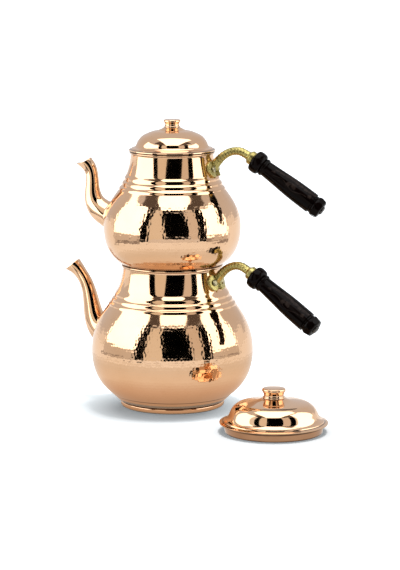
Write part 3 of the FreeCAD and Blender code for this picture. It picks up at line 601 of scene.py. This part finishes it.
def hammered(outline, columns, low, high, seed):
    """Depth of hammer marks over the shell: shallow round blows in staggered, uneven rows."""
    rng = np.random.default_rng(seed)
    run = lengths_along(outline)
    rows = int(run[-1] / DIMPLE) + 4
    reach_of_row = np.interp(np.arange(rows) * DIMPLE, run, outline[:, 0])
    count = np.maximum(8, np.round(FULL_TURN * reach_of_row / DIMPLE)).astype(int)
    offset = rng.random(rows)
    blows = (rows, count.max())
    jitter_along = rng.uniform(-DIMPLE_JITTER, DIMPLE_JITTER, blows) * DIMPLE
    jitter_round = rng.uniform(-DIMPLE_JITTER, DIMPLE_JITTER, blows)
    depth_of = rng.uniform(*DIMPLE_DEPTHS, blows)
    angle = angles(columns)[None, :]
    here = np.repeat(run[:, None], columns, axis=1)
    radius = outline[:, :1]
    best = np.full(here.shape, np.inf)
    deep = np.ones(here.shape)
    nearest = np.round(here / DIMPLE).astype(int)
    for row_step in (-1, 0, 1):
        row = np.clip(nearest + row_step, 0, rows - 1)
        around = count[row]
        place = angle / FULL_TURN * around - offset[row]
        for step in (-1, 0, 1):
            column = np.round(place).astype(int) + step
            which = column % around
            across = (place - column - jitter_round[row, which]) / around * FULL_TURN * radius
            along = here - row * DIMPLE - jitter_along[row, which]
            far = across ** 2 + along ** 2
            closer = far < best
            best = np.where(closer, far, best)
            deep = np.where(closer, depth_of[row, which], deep)
    cup = np.minimum(best / (0.5 * DIMPLE) ** 2, CUP_REACH) - 0.5 * CUP_REACH
    height = outline[:, 1:]
    marks = between(height, low, low + MARKS_FADE[0]) * between(height, high, high - MARKS_FADE[1])
    zone = between(height, low, low + ZONE_FADE) * between(height, high, high - ZONE_FADE)
    return DIMPLE_DEEP * cup * deep * marks - ZONE_DOWN * eased(zone)


def shell(made, finish, seed):
    """Spun shell: hammered belly, ridges, rolled rim, and the tinned inside one sheet's thickness away."""
    columns = int(FULL_TURN * made.curve[:, 0].max() / SHELL_STEP)
    foot = rounded(made.corners, 0.2)
    belly = made.curve[made.curve[:, 1] < made.hammer_to]
    above = made.curve[made.curve[:, 1] >= made.hammer_to]
    ridge_low = made.ridges[-1][1] - BELOW_RIDGES
    ridge_high = made.ridges[0][1] + ABOVE_RIDGES
    below_ridges = spaced(above[above[:, 1] < ridge_low], BELOW_RIDGES_STEP)
    beside_ridges = spaced(above[(above[:, 1] >= ridge_low) & (above[:, 1] < ridge_high)], RIDGE_STEP)
    ridged = with_ridges(beside_ridges, made.ridges, made.ridge_run_out)
    neck_line = spaced(above[above[:, 1] >= ridge_high], NECK_STEP)
    centre = np.array([made.neck_r, made.rim - made.bead_r])
    neck_line = neck_line[np.hypot(*(neck_line - centre).T) > made.bead_r]
    turn = np.radians(np.linspace(*BEAD_TURN, BEAD_POINTS))
    rolled = centre + made.bead_r * np.stack([np.cos(turn), np.sin(turn)], axis=1)
    outline = np.concatenate(
        [foot[:-1], spaced(belly, SHELL_STEP), below_ridges[1:], ridged, neck_line, rolled]
    )
    points = turned_points(outline, columns)
    inward = sidestep(outline, 1.0) - outline
    sink = -hammered(outline, columns, made.hammer_from, made.hammer_to, seed)
    angle = angles(columns)
    points[..., 0] += inward[:, :1] * sink * np.cos(angle)
    points[..., 1] += inward[:, :1] * sink * np.sin(angle)
    points[..., 2] += inward[:, 1:] * sink
    middle = spaced(np.concatenate([rounded(made.corners, 0.5)[:-1], made.curve]), LINING_STEP)
    inner = np.concatenate([[made.corners[0]], sidestep(middle, WALL)[1:]])
    inner = inner[inner[:, 1] < made.rim - made.bead_r]
    lining = turned_points(inner, LINING_COLUMNS)
    outer = grid_faces(len(outline), columns)
    inner_faces = grid_faces(len(inner), LINING_COLUMNS)[:, ::-1] + len(outline) * columns
    faces = np.concatenate([outer, inner_faces])
    everything = np.concatenate([points.reshape(-1, 3), lining.reshape(-1, 3)])
    tinned = np.arange(len(faces)) >= len(outer)
    thing = mesh_object(made.name + "_shell", everything, faces, finish, 50.0, tinned)
    thing.data.transform(made.place)
    belongs(thing, made.name, made.name + "_body")


shell(kettle, kettle_copper, 11)
shell(teapot, teapot_copper, 23)


# Base pans

SPIGOT_HIGH = 4.0
PAN_EDGE = 1.0


def base(made):
    low, high = made.foot_low, made.low
    foot_r, opening = made.foot_r, made.opening_r
    outside = rounded(
        [
            (0.0, low), (foot_r - PAN_EDGE, low), (foot_r, low + PAN_EDGE),
            (foot_r, high - PAN_EDGE), (made.pan_top_r, high), (opening, high),
        ],
        0.6,
    )
    inside = rounded(
        [
            (opening, high), (opening, high + SPIGOT_HIGH), (opening - WALL, high + SPIGOT_HIGH),
            (opening - WALL, high - WALL), (foot_r - WALL, high - WALL), (foot_r - WALL, low + WALL),
            (0.0, low + WALL),
        ],
        0.2,
    )
    outline = np.concatenate([outside, inside[1:]])
    thing = turned(made.name + "_pan", outline, 192, pan_copper, Matrix.Identity(4), 30.0)
    belongs(thing, made.name, made.name + "_base")


base(kettle)
base(teapot)


# Spouts

SPOUT_POINTS = 700
SPOUT_COLUMNS = 96
SPOUT_ROWS = 150
SPOUT_FILLET = 1.1
# The dip of the mouth, and how far and how wide the tube runs on before it is cut, as shares of its radius.
MOUTH_DIP = 0.21
MOUTH_PAST = 0.35
MOUTH_FLARE = 1.1
# The root reaches this far under the shell's skin, and the cut of the mouth is looked for past this point.
ROOT_SINK = 0.4
MOUTH_SEARCH_FROM = 200


def spout(made, stations):
    """Curved tube, seated on the belly with a small fillet and cut to a dip at its mouth.

    A station has its shares of the way out and up, its share of the root's swell, and its lean."""
    root, end, mouth_r = made.spout_root, made.spout_end, made.mouth_r
    start = np.array([*root, made.throat_r, 0.0])
    ways = start + (np.array([*end, made.root_r, 1.0]) - start) * stations
    lean = math.radians(made.mouth_lean)
    mouth_out, mouth_up = math.cos(lean), math.sin(lean)
    past = MOUTH_PAST * mouth_r
    beyond = (end[0] + past * mouth_out, end[1] + past * mouth_up, MOUTH_FLARE * mouth_r)
    ways = np.concatenate([ways, [(*end, mouth_r, made.mouth_lean), (*beyond, made.mouth_lean)]])
    at = lengths_along(ways[:, :2])
    fine = np.linspace(0.0, at[-1], SPOUT_POINTS)
    out, up, radius, lean = (through(at, ways[:, k], fine) for k in range(4))
    lean = np.radians(lean)
    round_ = angles(SPOUT_COLUMNS)
    outline = made.curve
    cutter = mouth_r * (1 + MOUTH_DIP ** 2) / (2 * MOUTH_DIP)

    def tube(thinner, fillet):
        """Rings of points from the belly to the mouth, one wall thinner or as wide as the sheet's outside."""
        reach = (radius - thinner)[:, None]
        upward = reach * np.cos(round_)
        x = -out[:, None] + upward * np.sin(lean)[:, None]
        z = up[:, None] + upward * np.cos(lean)[:, None]
        y = reach * np.sin(round_)
        skin = np.interp(z, outline[:, 1], outline[:, 0])
        inside = np.hypot(x, y) < skin - ROOT_SINK
        run = (z - end[1]) * mouth_up - (x + end[0]) * mouth_out
        side = (z - end[1]) * mouth_out + (x + end[0]) * mouth_up
        limit = cutter - MOUTH_DIP * mouth_r - np.sqrt(np.maximum(cutter ** 2 - side ** 2, 0))
        past_bend = np.arange(len(fine)) > MOUTH_SEARCH_FROM
        made_columns = []
        for k in range(SPOUT_COLUMNS):
            first = np.nonzero(inside[:, k])[0].max() + 1
            last = np.nonzero((run[:, k] < limit[:, k]) & past_bend)[0].max()
            line = np.stack([x[:, k], y[:, k], z[:, k]], axis=1)[first : last + 1]
            steps = np.concatenate([[0], np.cumsum(np.linalg.norm(np.diff(line, axis=0), axis=1))])
            where = np.linspace(0, 1, SPOUT_ROWS) ** 1.25 * steps[-1]
            column = np.stack([np.interp(where, steps, side) for side in line.T], axis=1)
            if fillet:
                index = np.clip(np.searchsorted(steps, where), 0, len(line) - 1) + first
                rise = fillet * np.clip(1 - where / (2.2 * fillet), 0, 1) ** 2
                column[:, 0] += rise * math.cos(round_[k]) * np.sin(lean[index])
                column[:, 1] += rise * math.sin(round_[k])
                column[:, 2] += rise * math.cos(round_[k]) * np.cos(lean[index])
            made_columns.append(column)
        return np.stack(made_columns, axis=1)

    outer = tube(0.0, SPOUT_FILLET)
    bore = tube(WALL, 0.0)
    last_step = outer[-1] - outer[-2]
    onward = 0.35 * last_step / np.linalg.norm(last_step, axis=1, keepdims=True)
    shoulder = 0.25 * bore[-1] + 0.75 * outer[-1] + 0.8 * onward
    lip = 0.5 * (outer[-1] + bore[-1]) + onward
    grid = np.concatenate([outer, shoulder[None], lip[None], bore[::-1]])
    faces = grid_faces(len(grid), SPOUT_COLUMNS)
    tinned = np.arange(len(faces)) >= (len(outer) + 1) * SPOUT_COLUMNS
    thing = mesh_object(made.name + "_pouring_spout", grid, faces, smooth_copper, 60.0, tinned)
    thing.data.transform(made.place)
    belongs(thing, made.name, made.name + "_spout")


spout(
    kettle,
    [
        (0.0, 0.0, 1.0, 30.0), (0.132, 0.052, 0.96, 31.0), (0.261, 0.109, 0.83, 38.0),
        (0.381, 0.188, 0.65, 53.0), (0.463, 0.294, 0.48, 69.0), (0.512, 0.415, 0.325, 77.0),
        (0.553, 0.547, 0.18, 77.0), (0.605, 0.674, 0.06, 71.0), (0.685, 0.789, 0.0, 62.0),
        (0.809, 0.895, 0.01, 53.0), (0.9, 0.952, 0.12, 50.0),
    ],
)
spout(
    teapot,
    [
        (0.0, 0.0, 1.0, 30.0), (0.121, 0.063, 0.93, 31.0), (0.31, 0.128, 0.84, 34.0),
        (0.499, 0.198, 0.72, 43.0), (0.635, 0.292, 0.525, 60.0), (0.705, 0.393, 0.345, 76.0),
        (0.731, 0.51, 0.167, 86.0), (0.733, 0.664, 0.026, 86.0), (0.77, 0.82, 0.0, 73.0),
        (0.874, 0.925, 0.09, 64.0),
    ],
)


# Grips and nuts

GRIP_RISE = 10.6
GRIP_TILT = 34.8
GRIP_LONG = 89.0
BULB_R = 11.5
BEAD_R = 9.5
WAIST_R = 8.4
BARREL_R = 10.8
END_R = 10.2
ROD_HOLE_R = 2.7
# The end's eight facets: the corner's reach, as a share of the end's radius, along the grip's length.
FACETS = 8
FACET_PLACES = [0.88, 0.89, 0.9, 1.0, 1.05]
FACET_REACHES = [9.0, 2.0, 1.16, 0.97, 0.85]
NUT_R = 4.6
NUT_HIGH = 2.0
NUT_EDGE = 0.25
ROD_R = 2.5


def grip(made):
    """Turned wooden grip with a bulb, a bead, a swelling barrel and a facetted end, and its nut."""
    tilt = Matrix.Rotation(math.radians(90 + GRIP_TILT), 4, "Y")
    place = made.place @ shift(made.ear[0] + ARM_REACH, 0.0, made.ear[1] + GRIP_RISE) @ tilt
    outline = np.concatenate(
        [
            [(ROD_HOLE_R, 0.0), (BULB_R * 0.66 - 0.3, 0.0)],
            share_curve(
                BULB_R, GRIP_LONG, 36,
                (0.66, 0.0), (0.94, 0.002), (1.04, 0.035), (1.04, 0.085), (0.98, 0.122), (0.8, 0.132),
            ),
            share_curve(BEAD_R, GRIP_LONG, 18, (0.88, 0.138), (1.05, 0.142), (1.05, 0.172), (0.9, 0.18)),
            share_curve(
                BARREL_R - WAIST_R, GRIP_LONG, 40,
                (0.0, 0.188), (0.25, 0.33), (0.86, 0.52), (1.0, 0.68), (1.0, 0.862), start=WAIST_R,
            ),
            [(BARREL_R * 0.87, GRIP_LONG * 0.87), (BARREL_R * 0.87, GRIP_LONG * 0.886)],
            share_curve(
                END_R, GRIP_LONG, 30, (0.96, 0.893), (1.06, 0.905), (1.1, 0.95), (1.02, 0.995), (0.66, 1.0)
            ),
            [(ROD_HOLE_R, GRIP_LONG), (ROD_HOLE_R, 0.0)],
        ]
    )
    columns = 192
    points = turned_points(outline, columns)
    angle = angles(columns)
    facet = FULL_TURN / FACETS
    from_middle = (angle % facet) - facet / 2
    corner = np.interp(outline[:, 1] / GRIP_LONG, FACET_PLACES, FACET_REACHES) * END_R
    limit = corner[:, None] * math.cos(facet / 2) / np.cos(from_middle)[None, :]
    reach = np.minimum(outline[:, :1], limit)
    points[..., 0] = reach * np.cos(angle)
    points[..., 1] = reach * np.sin(angle)
    faces = grid_faces(len(outline), columns)
    thing = mesh_object(made.name + "_handle_grip", points, faces, wood, 24.0)
    thing.matrix_world = place
    belongs(thing, made.name, made.name + "_grip")
    dome = share_curve(NUT_R, NUT_HIGH, 14, (1.0, 0.35), (1.0, 0.85), (0.7, 1.0), (0.0, 1.0))
    nut_line = np.concatenate([[(ROD_R, 0.0), (NUT_R - NUT_EDGE, 0.0), (NUT_R, NUT_EDGE)], dome])
    nut = turned(made.name + "_round_nut", nut_line, 48, nut_metal, place @ shift(0, 0, GRIP_LONG), 40.0)
    belongs(nut, made.name, made.name + "_grip_nut")


grip(kettle)
grip(teapot)


# Cast brackets

VOXEL = 0.00042
SOFTENING = 6
ARM_SHARES = (
    (-0.01, 0.06), (0.063, 0.3), (0.15, 0.53), (0.27, 0.766),
    (0.418, 0.937), (0.57, 1.0), (0.72, 0.94), (0.88, 0.755),
)
ARM_POINTS = 300
LEAF_LONG = 3.4
LEAF_ARCH = 0.9
VEIN_SHARE = 0.35
RELIEF_DEEP = 0.42
RELIEF_LEVEL = 0.7
RELIEF_FROM = 7.0
RELIEF_BEFORE_END = 1.5
RELIEF_OUT_TO = 6.6


def read_vectors(mesh, name):
    """Points or normals of a mesh, one row each."""
    values = np.zeros(len(mesh.vertices) * 3)
    mesh.vertices.foreach_get(name, values)
    return values.reshape(-1, 3)


def casting(made):
    """The bracket as a casting: the solid's form with soft edges and a leafy relief along the arm."""
    node = made.name + "_bracket"
    thing = added(made.name + "_cast_bracket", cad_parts[node].data.copy())
    remesh = thing.modifiers.new("skin", "REMESH")
    remesh.mode = "VOXEL"
    remesh.voxel_size = VOXEL
    soften = thing.modifiers.new("soften", "SMOOTH")
    soften.factor = 0.5
    soften.iterations = SOFTENING
    graph = bpy.context.evaluated_depsgraph_get()
    mesh = bpy.data.meshes.new_from_object(thing.evaluated_get(graph))
    thing.modifiers.clear()
    thing.data = mesh
    points = read_vectors(mesh, "co")
    normals = read_vectors(mesh, "normal")
    local = points / MM @ np.array(made.place.inverted().to_3x3()).T
    spine = np.array(made.ear) + np.array(ARM_SHARES) * (ARM_REACH, ARM_RISE)
    run = lengths_along(spine)
    where = np.linspace(0, run[-1], ARM_POINTS)
    line = np.stack([through(run, side, where) for side in spine.T], axis=1)
    far = np.hypot(local[:, None, 0] - line[None, :, 0], local[:, None, 2] - line[None, :, 1])
    nearest = far.argmin(axis=1)
    along = where[nearest]
    way = ways_along(line)[nearest]
    off = local[:, [0, 2]] - line[nearest]
    up = -off[:, 0] * way[:, 1] + off[:, 1] * way[:, 0]
    round_ = np.arctan2(local[:, 1], up)
    leaf = along / LEAF_LONG - LEAF_ARCH * np.abs(np.sin(round_))
    part = leaf - np.floor(leaf)
    scale = np.sqrt(np.clip(part, 0, 1)) * (1 - between(part, 0.8, 1.0))
    vein = VEIN_SHARE * np.exp(-((np.sin(round_ * 3.0)) ** 2) / 0.08)
    end = run[-1] - RELIEF_BEFORE_END
    on_arm = between(along, RELIEF_FROM, RELIEF_FROM + 3.0) * between(along, end, end - 2.0)
    on_arm = on_arm * between(np.hypot(local[:, 1], up), RELIEF_OUT_TO, RELIEF_OUT_TO - 0.6)
    depth = RELIEF_DEEP * on_arm * (scale - vein - RELIEF_LEVEL)
    points += normals * depth[:, None] * MM
    mesh.vertices.foreach_set("co", points.ravel())
    hollow = mesh.attributes.new("hollow", "FLOAT", "POINT")
    hollow.data.foreach_set("value", on_arm * np.clip(0.75 - 1.4 * (scale - vein), 0, 1))
    smoothed(mesh)
    mesh.materials.clear()
    mesh.materials.append(cast_brass)
    mesh.update()
    belongs(thing, made.name, node)


casting(kettle)
casting(teapot)


# Lids

COLLAR_HIGH = 8.8
COLLAR_GAP = 0.4
COLLAR_TAPER = 1.4
FLANGE_FLAT = 3.5
LID_HOLE_R = 2.2
SCREW_R = 2.0


def lid(made, body, place, radius, high, knob_r, knob_high, step_at, step_high, shares):
    """Spun dome with a step above its flange, tinned inside, with its collar below and its knob on top."""
    poles = [(radius, WALL)] + [(radius * out, high * up) for out, up in shares] + [(knob_r * 1.04, high)]
    dome = spaced(pole_curve(poles, 600), 0.4)
    past_step = lengths_along(dome) - step_at
    step_up = eased(np.clip(past_step / (1.1 * step_high), 0, 1))
    step_up = step_up * np.clip(1 - past_step / (8 * step_high), 0, 1) ** 1.5
    under = sidestep(dome, WALL)
    dome = sidestep(dome, -step_high * step_up)
    edge = rounded([(radius - FLANGE_FLAT, 0.0), (radius, 0.0), (radius, WALL)], 0.45, 6)
    top = np.concatenate([edge[:-1], dome, [(LID_HOLE_R, high)]])
    collar_out = made.neck_r - WALL - COLLAR_GAP
    collar_in = collar_out - WALL
    under = under[under[:, 0] < collar_in * 0.985]
    inside = np.concatenate(
        [[(LID_HOLE_R, high - WALL)], under[::-1], [(collar_in, 0.0)], [(radius - FLANGE_FLAT, 0.0)]]
    )
    outline = np.concatenate([top, inside])
    columns = 256
    points = turned_points(outline, columns)
    faces = grid_faces(len(outline), columns)
    tinned = np.zeros(len(faces))
    tinned[(len(top) - 1) * columns : (len(outline) - 2) * columns] = 1
    thing = mesh_object(made.name + "_spun_lid", points, faces, lid_copper, 35.0, tinned)
    thing.matrix_world = place
    belongs(thing, body, made.name + "_lid")
    half_way = (collar_in - COLLAR_TAPER * 0.5, COLLAR_HIGH * 0.5)
    ring = rounded(
        [
            half_way, (collar_in - COLLAR_TAPER, 0.0), (collar_out - COLLAR_TAPER, 0.0),
            (collar_out, COLLAR_HIGH), (collar_in, COLLAR_HIGH), half_way,
        ],
        0.35,
    )
    collar = turned(
        made.name + "_locating_collar", ring, 192, collar_shaded_copper, place @ shift(0, 0, -COLLAR_HIGH), 40.0
    )
    belongs(collar, body, made.name + "_lid_collar")
    bead = share_curve(knob_r, knob_high, 16, (0.88, 0.0), (0.94, 0.02), (0.94, 0.16), (0.88, 0.2))
    waist = share_curve(knob_r, knob_high, 20, (0.88, 0.2), (0.82, 0.3), (0.83, 0.52), (0.98, 0.7))
    edge = share_curve(knob_r, knob_high, 20, (0.98, 0.7), (1.02, 0.8), (1.02, 0.96), (0.86, 1.0))
    knob_line = np.concatenate([[(SCREW_R, 0.0)], bead, waist[1:], edge[1:], [(0.0, knob_high)]])
    knob = turned(made.name + "_turned_knob", knob_line, 96, lid_copper, place @ shift(0, 0, high), 28.0)
    belongs(knob, body, made.name + "_lid_knob")


lid(
    teapot, "lid_on_teapot", shift(0, 0, teapot.rim + SEAT_GAP),
    radius=45.5, high=24.3, knob_r=9.0, knob_high=8.5, step_at=3.2, step_high=0.7,
    shares=[
        (1.01, 0.08), (0.845, 0.12), (0.826, 0.34), (0.715, 0.64), (0.58, 0.75), (0.42, 0.88), (0.3, 0.88)
    ],
)
lid(
    kettle, "lid_of_kettle", shift(154.9, -61.8, COLLAR_HIGH),
    radius=55.0, high=25.4, knob_r=12.0, knob_high=10.6, step_at=4.0, step_high=0.9,
    shares=[
        (1.0, 0.05), (0.855, 0.08), (0.79, 0.59), (0.685, 0.75), (0.635, 0.83), (0.38, 0.91), (0.29, 0.94)
    ],
)


# Nodes that keep their own solid: rivets, rods and screws

for name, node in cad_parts.items():
    if node.hide_render:
        continue
    slot, finish = ("rivet_copper", rivet_copper) if "_rivet_" in name else ("steel", steel)
    node.data.materials.clear()
    node.data.materials.append(finish)
    smoothed(node.data)
    node.data.set_sharp_from_angle(angle=math.radians(40))


# Studio cards, which only show in the polished metal. Bearings are in degrees off the camera's, seen
# from the kettle's axis, and distances in metres.

EYE = (1.2181, -2.0679, 0.530)
AIM = (0.0252, 0.01484, 0.12805)
FACING = math.atan2(EYE[1], EYE[0])
# Distances of the far cards, and the height of the pots' middle.
FAR = 2.2
BEHIND = FAR + 0.06
BEFORE = FAR - 0.05
BACK = FAR + 0.1
SIGHT = 0.1
# Floor cards lie just above the floor, some under the others.
LOWER = 0.0003
UPPER = 0.0006


def glow(name, colour, strength=1.0):
    """A material that shines only into mirrors."""
    material = bpy.data.materials.new(name)
    material.use_nodes = True
    wires = Wires(material.node_tree)
    wires.tree.nodes.clear()
    emission = wires.add("ShaderNodeEmission", {"Color": (*colour, 1.0)})
    wires.link(wires.maths("MULTIPLY", wires.first_seen(), strength), emission.inputs["Strength"])
    wires.link(emission.outputs["Emission"], wires.add("ShaderNodeOutputMaterial").inputs["Surface"])
    return material


def flat_mesh(name, material, points, faces):
    mesh = bpy.data.meshes.new(name)
    mesh.from_pydata(points, [], faces)
    mesh.materials.append(material)
    thing = added(name, mesh)
    thing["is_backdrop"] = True
    return thing


def card(name, material, points, faces):
    thing = flat_mesh(name, material, points, faces)
    thing.visible_camera = False
    thing.visible_diffuse = False
    thing.visible_shadow = False


def spot(bearing, out, up):
    """A point at a bearing off the camera's, a distance from the kettle's axis and a height."""
    angle = FACING + math.radians(bearing)
    return (out * math.cos(angle), out * math.sin(angle), up)


# The corners of a piece of a strip, numbered along its two edges by turns.
UPRIGHT = (0, 2, 3, 1)
FLAT = (0, 1, 3, 2)


def strip(name, material, corners, first, second, count=16):
    """A card between two curved edges, each with its bearings, its distance from the axis and its height."""
    points = []
    for k in range(count + 1):
        for start, end, out, up in (first, second):
            points.append(spot(start + (end - start) * k / count, out, up))
    card(name, material, points, [[2 * k + corner for corner in corners] for k in range(count)])


def seen_at(elevation):
    """Height of a far card's edge that the pots see at an elevation, or of the floor."""
    return 0.0 if elevation is None else SIGHT + FAR * math.tan(math.radians(elevation))


black = glow("card_black", (0.0, 0.0, 0.0))
left_tan = glow("card_left_tan", (0.90, 0.85, 0.76))
right_tan = glow("card_right_tan", (0.80, 0.75, 0.70))
dusk = glow("card_dusk", (0.75, 0.73, 0.72))
gloom = glow("card_gloom", (0.36, 0.33, 0.33))
pale = glow("card_pale", (0.86, 0.86, 0.88))
shade = glow("card_shade", (0.12, 0.10, 0.09))
# The near floor card carries a painted reflection. Its colour is set below.
near_copper_shade = glow("card_near_copper_shade", (1.0, 1.0, 1.0))
ceiling = glow("card_ceiling", (0.70, 0.70, 0.73))
soft = glow("card_soft", (1.0, 1.0, 1.0), 2.8)

# Painted shade and painted copper reflection: the near floor card is dark copper close to the kettle's axis
# and turns white further out, and the foot and lower belly mirror it.
NEAR_FADE = (0.05, 0.32)
wires = Wires(near_copper_shade.node_tree)
from_axis = wires.add("ShaderNodeVectorMath", operation="LENGTH")
wires.link(wires.add("ShaderNodeTexCoord").outputs["Object"], from_axis.inputs[0])
fading = wires.ramp(
    wires.span(from_axis.outputs["Value"], 0.0, 1.0, *NEAR_FADE),
    (0.0, (0.50, 0.37, 0.28)), (0.12, (0.76, 0.60, 0.49)), (0.27, (0.95, 0.87, 0.79)),
    (0.6, (0.89, 0.86, 0.82)), (1.0, (1.0, 1.0, 1.0)),
)
wires.link(fading, wires.tree.nodes["Emission"].inputs["Color"])

# Upright cards: the bearings along the foot and along the head, the elevations of both, and the distance
for name, material, foot, head, low, high, out in (
    ("front_black", black, (-13, 28.5), (-22, 23), None, 48.5, FAR),
    ("left_tan", left_tan, (-40, -10), (-40, -10), None, 46.5, BEHIND),
    ("right_tan", right_tan, (26, 43), (18, 46), None, 46.5, BEHIND),
    ("left_stripe", black, (-55, -40), (-52, -38), None, 50, FAR),
    ("right_stripe", black, (43, 57), (46, 62), None, 46, FAR),
    ("left_dusk", dusk, (-114, -55), (-114, -55), None, 14, FAR),
    ("right_dusk", dusk, (57, 106), (57, 106), None, 14, FAR),
    ("left_shade", shade, (-78, -24), (-70, -30), 47, 62, BEFORE),
    ("right_shade", shade, (22, 84), (46, 74), 46, 60, BEFORE),
    ("left_ceiling", ceiling, (-136, -70), (-136, -60), 9, 72, BACK),
    ("right_ceiling", ceiling, (74, 130), (66, 130), 14, 72, BACK),
    ("back_wall", ceiling, (130, 230), (130, 230), 4, 72, BACK),
):
    strip(name, material, UPRIGHT, (*foot, out, seen_at(low)), (*head, out, seen_at(high)))

# Flat cards: the bearings, both distances, and the height
for name, material, start, end, near, far, up in (
    ("front_black", black, -13, 28.5, 0.85, FAR, UPPER),
    ("front_pale", pale, -40, 43, 0.55, 1, LOWER),
    ("left_tan", left_tan, -40, -13, 0.72, FAR, UPPER),
    ("right_tan", right_tan, 28.5, 43, 0.72, FAR, UPPER),
    ("left_stripe", black, -55, -40, 0.58, FAR, UPPER),
    ("right_stripe", black, 43, 57, 0.62, FAR, UPPER),
    ("left_gloom", gloom, -112, -55, 0.50, 0.62, UPPER),
    ("right_gloom", gloom, 57, 106, 0.54, 0.66, UPPER),
    ("near", near_copper_shade, -180, 180, 0.057, NEAR_FADE[1], LOWER),
    ("left_dusk", dusk, -112, -55, 0.62, FAR, UPPER),
    ("right_dusk", dusk, 57, 106, 0.66, FAR, UPPER),
):
    count = 96 if name == "near" else 16
    strip(name + "_floor", material, FLAT, (start, end, near, up), (start, end, far, up), count)

# Softboxes close on both sides
strip("left_box", soft, UPRIGHT, (-106, -52, 0.5, 0.125), (-104, -48, 0.5, 0.68))
strip("right_box", soft, UPRIGHT, (54, 99, 0.5, 0.105), (58, 97, 0.5, 0.62))

# The softbox overhead, its corners in the camera's direction and across it
OVERHEAD_UP = 1.5
OVERHEAD = ((1.12, -0.46), (1.12, 0.48), (-0.3, 0.95), (-0.3, -0.62))
cos, sin = math.cos(FACING), math.sin(FACING)
corners = [(x * cos - y * sin, x * sin + y * cos, OVERHEAD_UP) for x, y in OVERHEAD]
card("overhead_box", soft, corners, [(0, 1, 2, 3)])


# Floor, world, lamp and camera

FLOOR_HALF = 20
FLOOR_GLOW = 0.19
# Painted light on the floor away from the pots: its strength, and the distances over which it fades in.
PAINTED_FLOOR_LIGHT = 0.55
PAINTED_LIGHT_FADE = (0.045, 0.105)
SKY_LIGHT = 0.50

# The floor's glow is bluish: painted light that keeps the shade on the floor from looking pink.
ground = Paint("floor_pale", Roughness=0.9, Specular_IOR_Level=0.0, Emission_Color=(0.86, 0.95, 1.0, 1.0))
ground.coloured(ground.ramp(ground.noise(3.0), (0.2, (0.925, 0.925, 0.928)), (0.8, (0.94, 0.94, 0.943))))


def ground_away(x, y):
    """Distance over the floor from a point."""
    node = ground.add("ShaderNodeVectorMath", {1: (x, y, 0.0)}, operation="DISTANCE")
    ground.link(ground.place, node.inputs[0])
    return node.outputs["Value"]


# Painted light: for the camera the floor is lifted to plain white a little way from the kettle and from
# its lid, which cuts the pots' shadow short there.
from_lid = ground.maths("SUBTRACT", ground_away(0.1625, -0.0747), 0.01)
away = ground.maths("MINIMUM", ground_away(0.005, -0.032), from_lid)
painted_light = ground.span(away, 0.0, PAINTED_FLOOR_LIGHT, *PAINTED_LIGHT_FADE)
painted_light = ground.maths("MULTIPLY", painted_light, ground.add("ShaderNodeLightPath").outputs["Is Camera Ray"])
lit = ground.maths("ADD", ground.span(ground.first_seen(), 0.0, FLOOR_GLOW), painted_light)
ground.link(lit, ground.shader.inputs["Emission Strength"])
flat_mesh(
    "floor", ground.material,
    [(x * FLOOR_HALF, y * FLOOR_HALF, 0) for x, y in ((-1, -1), (1, -1), (1, 1), (-1, 1))],
    [(0, 1, 2, 3)],
)

world = bpy.data.worlds.new("studio")
bpy.context.scene.world = world
world.use_nodes = True
sky = Wires(world.node_tree)
sky.tree.nodes.clear()
rays = sky.add("ShaderNodeLightPath").outputs
shown = sky.largest([rays["Is Camera Ray"], rays["Is Glossy Ray"], rays["Is Transmission Ray"]])
strength = sky.span(sky.maths("MULTIPLY", shown, sky.first_seen()), SKY_LIGHT, 1.0)
background = sky.add("ShaderNodeBackground", {"Color": (1.0, 1.0, 1.0, 1.0)})
sky.link(strength, background.inputs["Strength"])
sky.link(background.outputs["Background"], sky.add("ShaderNodeOutputWorld").inputs["Surface"])


# A broad even lamp that the metal doesn't mirror
SUN_BEARING = 125.0
SUN_UP = math.radians(81.0)
SUN_SPREAD = math.radians(15.0)
SUN_STRENGTH = 1.6

light = bpy.data.lights.new("sun_key", "SUN")
light.angle = SUN_SPREAD
light.energy = SUN_STRENGTH
lamp = added("sun_key", light)
way = Vector(spot(SUN_BEARING, math.cos(SUN_UP), math.sin(SUN_UP)))
lamp.rotation_euler = way.to_track_quat("Z", "Y").to_euler()
lamp.visible_glossy = False

SENSOR_WIDE = 36.0
FOCAL_PIXELS = 2300.0
PICTURE_HIGH = 570.0

camera_data = bpy.data.cameras.new("camera")
camera_data.sensor_width = SENSOR_WIDE
camera_data.lens = SENSOR_WIDE * FOCAL_PIXELS / PICTURE_HIGH
camera_data.clip_start = 0.05
camera_data.clip_end = 100.0
camera = added("camera", camera_data)
camera.location = EYE
camera.rotation_euler = (Vector(AIM) - Vector(EYE)).to_track_quat("-Z", "Y").to_euler()
bpy.context.scene.camera = camera
bpy.context.scene.view_settings.view_transform = "Standard"

low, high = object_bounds()
